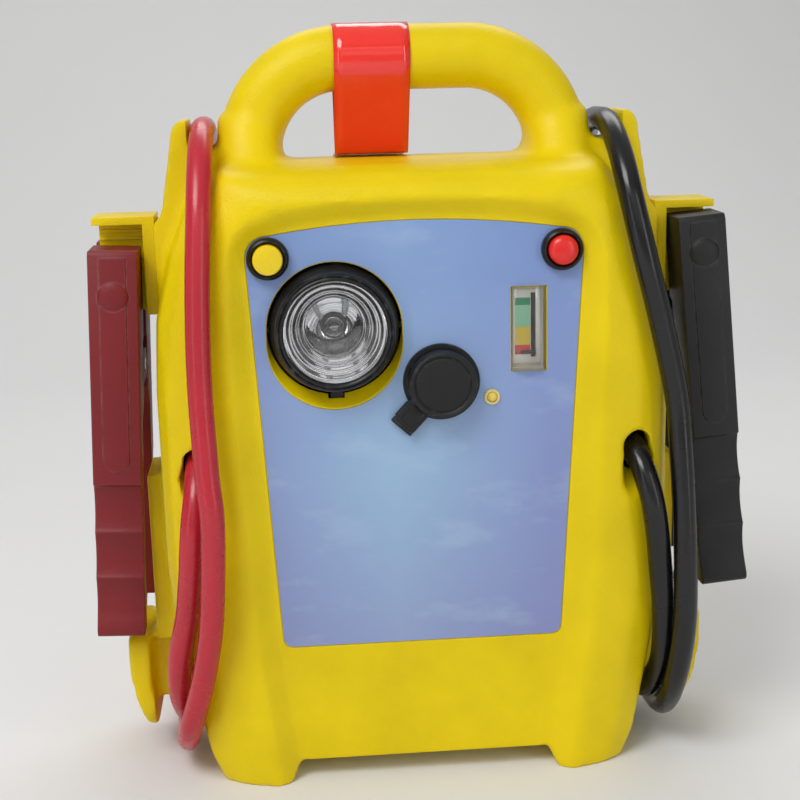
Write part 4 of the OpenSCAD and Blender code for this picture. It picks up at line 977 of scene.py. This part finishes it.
def lamp_oval(r, low, high):
    """The lamp's opening: a circle drawn out downwards."""
    x, _, z = LAMP
    upper, lower = arc(x, z, r, range(0, 181, 6)), arc(x, z - LAMP_DROP, r, range(180, 361, 6))
    return slab(upper + lower, "y", low, high)


def hole(x, z, r, low=-60, high=-40):
    """A round bore along Y."""
    return turned([(0, -high), (r, -high), (r, -low), (0, -low)], (x, 0, z), steps=64)


# %% The two shells and their openings
def half_of(name, side, inner, fall):
    """Front (-1) or rear (1) shell: its half of the skin, hollow inside."""
    low, high = sorted((side * SEAM, side * 90))
    shell = as_object(name, block((-160, low, -5), (160, high, 380)))
    carved(shell, mesh_of(skin), "INTERSECT")
    hollow = as_object("hollow", gathered(trunk(side, WALL, inner, fall)[:1]))
    carved(hollow, trunk(side, WALL, inner, fall)[1], "UNION")
    carved(hollow, arch(WALL))
    carved(shell, mesh_of(hollow))
    bpy.data.objects.remove(hollow)
    carved(shell, handle_bar(GRIP_R - WALL))
    return shell


front = half_of("front_housing", -1, FRONT_INNER, FRONT_FALL)
carved(front, slab(label_outline, "y", -60, -49))
carved(front, lamp_oval(31.5, -60, -30))
for side in (-1, 1):
    carved(front, hole(side * SWITCH_X, SWITCH_Z, 8.2))
carved(front, block((METER_LOW[0], -60, METER_LOW[1]), (METER_HIGH[0], -40, METER_HIGH[1])))
carved(front, hole(CHARGE_X, CHARGE_Z, 3.1))
carved(front, hole(OUTLET[0], OUTLET[2], 12.75))
piece(front, "case", "yellow_plastic", ["front_shell"])

rear = half_of("rear_housing", 1, REAR - WALL, REAR_FALL)
for x, z in SCREWS:
    for side in (-1, 1):
        carved(rear, turned(SCREW_WELL, (side * x, 0, z), steps=32))
carved(rear, hole(JACK_X, JACK_Z, 5.6, 40, 70))
piece(rear, "case", "yellow_plastic", ["rear_shell"])
bpy.data.objects.remove(skin)

# %% [markdown]
# ## The lamp
# The lamp is a black ball that tilts in an oval opening. Its rim is a thick
# rounded ring, and inside sits a polished bowl whose fine steps break the
# light into rings, with a small glass bulb at its middle and a clear lens in
# front. Each part is round, so each is a profile spun about the lamp's axis. A
# tab at the ball's foot and a stub at each side, on which it tilts, are added.

# %% The lamp's ball
BALL_R, BALL_WALL_R = 30.6, 28.4


def ball_arc(r, low, high, steps=10):
    """Points of a circle about the lamp's middle, from one height to another."""
    heights = [low + (high - low) * k / steps for k in range(steps + 1)]
    return [(math.sqrt(r * r - h * h), h) for h in heights]


rim_line = [
    (28.0, 14.2), (27.8, 15.8), (27.4, 17.0), (26.8, 17.7), (26.3, 17.8), (26.0, 17.4), (25.7, 17.8),
    (25.2, 18.1), (24.6, 17.9), (24.1, 17.4), (23.8, 16.7), (23.9, 16.3), (24.4, 16.3), (24.4, 14.5),
    (25.6, 13.6),
]
ball_line = ball_arc(BALL_R, -20, 12) + rim_line + ball_arc(BALL_WALL_R, 12, -17.8, 6)[1:]
ball_line += [(8.1, -17.8), (8.1, -20)]
ball = gathered([turned(ball_line, LAMP, closed=True, steps=ROUND)])
tab = block((-41.4, -54.6, 196.2), (-35.6, -50, 199))
stub_line = [(0, 28), (2.5, 28), (2.5, 35), (2.1, 35.4), (0, 35.4)]
stubs = [turned([(r, side * h) for r, h in stub_line], LAMP, "x", steps=24) for side in (1, -1)]
whole_ball = gathered([ball, tab] + stubs)
piece(("lamp_ball", whole_ball), "lamp", "charcoal_plastic", ["lamp_housing"], "gloss_black")

# %% Its bowl, lens and bulb
BOWL_R, BOWL_DEPTH, LENS_R, LENS_EDGE = 24.6, 21.5, 24.1, 15.9
RIPPLE, RIPPLES_FROM = 0.34, 13
bowl_line = []
for k in range(61):
    r = 24.0 - 17.6 * k / 60
    ripple = RIPPLE * min(1, max(0, (r - RIPPLES_FROM) / 3))
    bowl_line.append((r, 15.4 - BOWL_DEPTH * (1 - (r / BOWL_R) ** 2) + ripple * math.sin(r * 2.0)))
bowl_back = [(r, h - 0.9) for r, h in reversed(bowl_line)]
bowl = turned(bowl_line + bowl_back, LAMP, closed=True, steps=ROUND)
piece(("lamp_bowl", bowl), "lamp", "chrome_reflector", ["lamp_reflector"])

dome = [(r, LENS_EDGE + 1.5 * (1 - (r / LENS_R) ** 2)) for r in (LENS_R, 22, 18, 13, 8, 4, 0)]
under = [(r, h - 0.8) for r, h in reversed(dome)]
piece(("lamp_glass", turned(dome + under, LAMP, steps=ROUND)), "lamp", "clear_lens", ["lamp_lens"])

bulb_line = [
    (0, 4.2), (1.6, 4.0), (3.2, 3.0), (4.4, 1.2), (4.8, -1), (4.5, -3.2), (3.4, -5.4), (2.7, -7.5),
    (2.7, -16.6), (0, -16.6),
]
piece(("bulb_glass", turned(bulb_line, LAMP, steps=40)), "lamp", "clear_lens", ["lamp_bulb"], "bulb_glass")
x, y, z = LAMP
post_line = [(0, -12), (0.35, -12), (0.35, 0.6), (0, 0.6)]
posts = [turned(post_line, (x + side * 1.5, y, z), steps=12) for side in (-1, 1)]
coil = turned([(0, -1.6), (0.45, -1.6), (0.45, 1.6), (0, 1.6)], (x, y - 0.6, z), "x", steps=12)
piece(("bulb_filament", gathered(posts + [coil])), "lamp", "steel")

# %% [markdown]
# ## The slope round the lamp
# Below the ball the oval opening isn't empty: a yellow wall slopes from the
# opening's foot up to the ball. It is a plug that fills the oval, with three
# things taken out of it: a ball a little larger than the lamp's, a slanted
# mouth, which is the hull of three rings, and a channel for the lamp's tab.

# %% Slope round the lamp
BALL_ROOM_R, MOUTH_R = 31.3, 31.47
plug = as_object("lamp_slope", lamp_oval(31.42, -49.55, -44.7))
ball_room = [(0, -BALL_ROOM_R)] + ball_arc(BALL_ROOM_R, -31.2, 31.2, 24) + [(0, BALL_ROOM_R)]
carved(plug, turned(ball_room, LAMP, steps=ROUND))
mouth = []
for depth, drop in ((-50, LAMP_DROP), (-50, 0), (-44.6, 0)):
    mouth += [(x, depth, z - drop) for x, _, z in ring(MOUTH_R, (LAMP[0], 0, LAMP[2]), "y", 72)]
carved(plug, wrapped(mouth))
carved(plug, block((-42.4, -50, 193.6), (-34.6, -44, 200)))
piece(plug, "case", "yellow_plastic")

# %% [markdown]
# ## Switches, charging light, meter card and outlet cap
# The round fittings are turned profiles too. A black collar with a rounded rim
# surrounds each push button. The meter's card is a flat plate with a slot beside
# its bands, where the needle runs. The outlet's cap is a rubber disc with a ring
# pressed into its face and a short strap that folds when it opens.

# %% Push switches
collar = [
    (7.3, 49.6), (7.3, 52.9), (7.6, 53.6), (8.2, 54.0), (8.9, 53.7), (9.5, 52.9), (9.8, 51.6), (9.8, 49.6),
]
flat_cap = [(0, 57.5), (5.7, 57.5), (6.4, 57.3), (6.8, 56.8), (6.9, 56.2), (6.9, 44), (0, 44)]
round_cap = [
    (0, 57.5), (2, 57.4), (4, 57.0), (5.4, 56.4), (6.3, 55.7), (6.8, 54.8), (6.9, 54), (6.9, 44), (0, 44),
]
SWITCHES = (("light", -1, flat_cap, "yellow_button"), ("status", 1, round_cap, "red_button"))
for kind, side, cap_line, tint in SWITCHES:
    at = (side * SWITCH_X, 0, SWITCH_Z)
    bezel = (f"{kind}_switch_collar", turned(collar, at, closed=True))
    piece(bezel, "case", "charcoal_plastic", [f"{kind}_switch_bezel"], "gloss_black")
    button = (f"{kind}_switch_cap", turned(cap_line, at))
    piece(button, f"{kind}_button", tint, [f"{kind}_switch_button"])

# %% Meter card and charging light
low, high = (Vector(corner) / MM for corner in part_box("gauge_card"))
dial = as_object("gauge_dial", block(low, (60.1, high.y, high.z)))
carved(dial, block((55.1, low.y - 1, 208.5), (57.5, high.y + 1, 239.5)))
piece(dial, "case", "card", ["gauge_card"])
rim_line = [(2.6, 49.55), (2.6, 50.3), (2.9, 50.9), (3.4, 50.8), (3.7, 50.1), (3.7, 49.55)]
light_rim = turned(rim_line, (CHARGE_X, 0, CHARGE_Z), closed=True, steps=40)
piece(("charging_light_rim", light_rim), "case", "led_plastic")

# %% Outlet cap and its strap
STRAP_TURN, STRAP_HALF_W = -227, 6
face_ring = [
    (0, 59.5), (11.8, 59.5), (12.5, 59.3), (12.9, 59.0), (13.3, 59.3), (13.8, 59.8), (14.7, 60),
    (15.5, 59.6), (15.9, 58.8), (16, 57.8), (16, 53.4), (15.8, 52.5), (15.3, 52.1), (8.4, 52.1),
    (8, 52.5), (8, 55), (0, 55),
]
disc = turned(face_ring, OUTLET, steps=ROUND)
strap_line = [(14, -6), (26.6, -6), (27.6, -5.2), (27.6, 5.2), (26.6, 6), (14, 6)]
ridge_line = [(16.5, -3.4), (24.6, -3.4), (25.2, -2.8), (25.2, 2.8), (24.6, 3.4), (16.5, 3.4)]
turns = [math.tau * k / 16 for k in range(16)]
knuckle_line = [(27.8 + 1.5 * math.cos(t), -51.9 + 1.5 * math.sin(t)) for t in turns]
strap = slab(strap_line, "y", -53.7, -52.3)
ridge = slab(ridge_line, "y", -54.4, -53)
knuckle = slab(knuckle_line, "z", -STRAP_HALF_W, STRAP_HALF_W)
turn = Matrix.Rotation(math.radians(STRAP_TURN), 4, "Y")
for rubber in (strap, ridge, knuckle):
    rounded(rubber, [e for e in rubber.edges if e.calc_face_angle(0) > math.radians(60)], 0.35)
    rubber.transform(Matrix.Translation(Vector(OUTLET) * MM) @ turn)
piece(("outlet_cover", gathered([disc, strap, ridge, knuckle])), "cap", "black_rubber", ["outlet_cap"])

# %% [markdown]
# ## The clamps
# Each clamp is two long plastic grips round a pin. A grip is one profile, with
# three finger grooves near its end, given the width of the clamp and rounded
# edges. Its outer face carries a slightly raised band with a round end, and a
# button-like boss. The grips are drawn upright and then leaned as they hang.

# %% Profile of a grip
GRIP_HALF_W, JAW_TOP, GRIP_SPREAD = 11.5, 57, 7
GROOVES, GROOVE_R, GROOVE_HALF = (-64.5, -87.5, -110.5), 26, 11.3


def spread(z):
    """How far the outer face stands out at z, more towards the grip's end."""
    return (JAW_TOP - z) / (JAW_TOP + GRIP_LEN) * GRIP_SPREAD


def outer_y(z):
    """The outer face."""
    return GRIP_END_Y + spread(z)


def grip_outline(top):
    """Profile in YZ up to its top, the outer face at +Y, with its three finger grooves."""
    grooved = []
    for k in range(69):
        z = -53.5 - k
        y = outer_y(z) - 2.2
        for middle in GROOVES:
            if abs(z - middle) < GROOVE_HALF:
                y = outer_y(middle) + 21.22 - math.sqrt(GROOVE_R ** 2 - (z - middle) ** 2)
        grooved.append((y, z))
    above = [(6, top - 1), (7, top), (29.6, top), (31.1, top - 2.4), (outer_y(-52.5), -52.5)]
    end = [(36.6, -126), (36.2, -128.5), (34.6, -GRIP_LEN), (24, -GRIP_LEN)]
    inner = [(outer_y(-60) - 13, -60), (outer_y(-25) - 14, -25), (10, -14), (10, 12), (6, 14)]
    return above + grooved + end + inner


print("grip is", JAW_TOP + GRIP_LEN, "mm long")


# %% Band and lugs
PIN_HOLE_R, LUG_T, LUG_R = 3.06, 3.8, 8
BAND_HALF_W, BAND_DOWN, BAND_FOOT = 6.2, 3, -40


def half_circle(start):
    """Sixteen steps of half a turn."""
    return [start + math.pi * k / 16 for k in range(17)]


def band(top):
    """The raised band on the outer face, square at its top and round at its foot."""
    r = BAND_HALF_W
    outline = [(r, top - BAND_DOWN), (-r, top - BAND_DOWN)]
    outline += [(r * math.cos(t), BAND_FOOT + r * math.sin(t)) for t in half_circle(math.pi)]
    mesh = slab(outline, "y", 28, 31.8)
    rounded(mesh, [e for e in mesh.edges if all(v.co.y > GRIP_END_Y * MM for v in e.verts)], 0.5, 3)
    for v in mesh.verts:
        v.co.y += (JAW_TOP * MM - v.co.z) / (JAW_TOP + GRIP_LEN) * GRIP_SPREAD
    return mesh


def lug(low):
    """An ear round the pin, from x = low on."""
    outline = [(12, -LUG_R), (12, LUG_R)]
    outline += [(LUG_R * math.cos(t), LUG_R * math.sin(t)) for t in half_circle(math.pi / 2)]
    made = as_object("lug", slab(outline, "x", low, low + LUG_T))
    carved(made, turned([(0, -20), (PIN_HOLE_R, -20), (PIN_HOLE_R, 20), (0, 20)], (0, 0, 0), "x", steps=32))
    mesh = mesh_of(made)
    bpy.data.objects.remove(made)
    return mesh


# %% Four grips
def leaned(mesh, colour, in_front):
    """Mirrors a grip if it is the front one, then puts it where the clamp hangs."""
    if in_front:
        bmesh.ops.scale(mesh, vec=(1, -1, 1), verts=mesh.verts)
        bmesh.ops.recalc_face_normals(mesh, faces=mesh.faces)
    clamp = CLAMPS[colour]
    turn = Matrix.Rotation(math.radians(clamp["lean"]), 4, "Y")
    mesh.transform(Matrix.Translation(Vector(clamp["pivot"]) * MM) @ turn)
    return mesh


def grip(lug_x, top):
    """One grip with its band, its boss and the two lugs that hold the pin."""
    core = slab(grip_outline(top), "x", -GRIP_HALF_W, GRIP_HALF_W)
    bends = [e for e in core.edges if e.calc_face_angle(0) > math.radians(30)]
    rounded(core, bends, 1.0, 3, clamp=True)
    boss_line = [(0, -34.1), (3, -33.9), (5.4, -33.4), (6.8, -32.7), (7.3, -32.1), (7.4, -30), (0, -30)]
    boss = turned(boss_line, (0, 0, 38), steps=48)
    return gathered([core, band(top), boss, lug(lug_x), lug(-lug_x - LUG_T)])


# Where each grip's lugs start, so that the rear pair fits between the front pair.
GRIPS = (("front", 7.7, True), ("rear", 3.6, False))
CLAMP_LOOKS = (("red", "red_plastic", "red_plastic", 59.4), ("black", "charcoal_plastic", "black_clamp", 56))
for colour, slot, finish, top in CLAMP_LOOKS:
    for end, lug_x, in_front in GRIPS:
        body = f"{colour}_clamp_front" if in_front else "case"
        handle = (f"{colour}_{end}_handle", leaned(grip(lug_x, top), colour, in_front))
        piece(handle, body, slot, [f"{colour}_{end}_grip"], finish, 40)

# %% [markdown]
# ## Sleeves on the cables
# Where a cable leaves the housing or goes into a grip, a short tapered sleeve
# keeps it from bending sharply at the edge. A sleeve follows the first or last
# points of its cable's own route, as a curve that is thicker at the housing.

# %% Sleeves where the cables go in
for colour, route in routes.items():
    ends = {"exit": (route[:5], (6.9, 6.8, 6.6, 6.3, 5.95)), "grip": (route[:-4:-1], (7.2, 6.7, 5.95))}
    for end, (points, radii) in ends.items():
        boot = cable(f"{colour}_{end}_sleeve", points, [r * MM for r in radii])
        boot.data.materials.append(FINISHES[f"{colour}_sheath"].material)
        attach(boot, "case")
        print(boot.name, "has", len(points), "points")

# %% [markdown]
# ## The tag over the handle
# The tag is a strip of glossy film, 36 mm wide. It goes up behind the grip,
# over it and down in front, and its two ends are joined and lie on the rear
# shoulder. A row of edges is drawn on step by step along that line.

# %% Film tag
TAG_X, TAG_W, TAG_T = -33.5, 36, 0.3
LOOP_R, LOOP_Z = 16.1, 349.5
tag_line = [
    (38, 299.2), (34.6, 301.0), (30.8, 302.3), (26.4, 302.9), (22, 303.2), (14, 303.2), (10, 303.5),
    (8.2, 304.9),
]
tag_line += [(8.2 + 7.6 * k / 9, 304.9 + 41.7 * k / 9) for k in range(1, 9)]
tag_line += arc(0, LOOP_Z, LOOP_R, range(-10, 209, 7))
tag_line += [(-14.2 + 20.2 * k / 10, 341.6 - 37.1 * k / 10) for k in range(1, 10)]
tag_line += [(6.2, 304.6), (7.4, 304.0), (10, 303.8), (14, 303.8), (22, 303.8)]
tag_mesh = bmesh.new()
dots = [tag_mesh.verts.new(Vector((TAG_X + TAG_W * k / 8, *tag_line[0])) * MM) for k in range(9)]
row = [tag_mesh.edges.new(pair) for pair in zip(dots, dots[1:])]
for a, b in zip(tag_line, tag_line[1:]):
    row = drawn_on(tag_mesh, row, Vector((0, b[0] - a[0], b[1] - a[1])) * MM)
tag_piece = as_object("film_tag", tag_mesh)
film = tag_piece.modifiers.new("film", "SOLIDIFY")
film.thickness, film.offset = TAG_T * MM, 0
piece(tag_piece, "case", "tag_film", ["handle_tag"], sharp=80)
tag_length = sum(math.dist(a, b) for a, b in zip(tag_line, tag_line[1:]))
print("tag is", round(tag_length), "mm long")

# %% [markdown]
# ## The side brackets
# Each bracket is a shelf on a web, with a plate for the jaws to bite on. A
# moulding has no sharp edges, so they are rounded on a copy of the solid. The
# copy is merged first, because a solid's mesh is loose triangles. The left
# bracket also shows two ribs below its shelf.

# %% Brackets
def softened(node_name, width):
    """A copy of a solid with its sharp edges rounded."""
    mesh = mesh_of(frame["nodes"][node_name])
    bmesh.ops.remove_doubles(mesh, verts=mesh.verts, dist=2e-6)
    bmesh.ops.dissolve_limit(mesh, angle_limit=math.radians(1), verts=mesh.verts, edges=mesh.edges)
    bends = [e for e in mesh.edges if len(e.link_faces) == 2 and e.calc_face_angle() > math.radians(30)]
    rounded(mesh, bends, width, clamp=True)
    return mesh


for side in ("left", "right"):
    moulding = softened(f"{side}_bracket", 0.7)
    piece((f"{side}_bracket_moulding", moulding), "case", "yellow_plastic", [f"{side}_bracket"])
ribs = [block((-148.6, -3.4, z), (-127.4, 3.4, z + 1.4)) for z in (266.5, 270)]
for rib in ribs:
    rounded(rib, rib.edges, 0.3)
piece(("left_bracket_ribs", gathered(ribs)), "case", "yellow_plastic")

# %% [markdown]
# ## Finishes of the solids
# Every other solid keeps its shape and takes the finish that is named like its
# material. A few look different from the rest of their material: the black
# clamp, and the rubber and coloured fittings inside.

# %% Give every solid its finish
OWN_FINISH = {
    "black_front_grip": "black_clamp",
    "black_rear_grip": "black_clamp",
    "outlet_barrel": "black_rubber",
    "board_parts": "relay",
    "light_switch_body": "black_rubber",
}
for part in frame["record"]["subparts"]:
    solid = frame["nodes"][part["node"]]
    finish = FINISHES[OWN_FINISH.get(part["node"], part["material_slot"])]
    solid.data.materials.clear()
    solid.data.materials.append(finish.material)
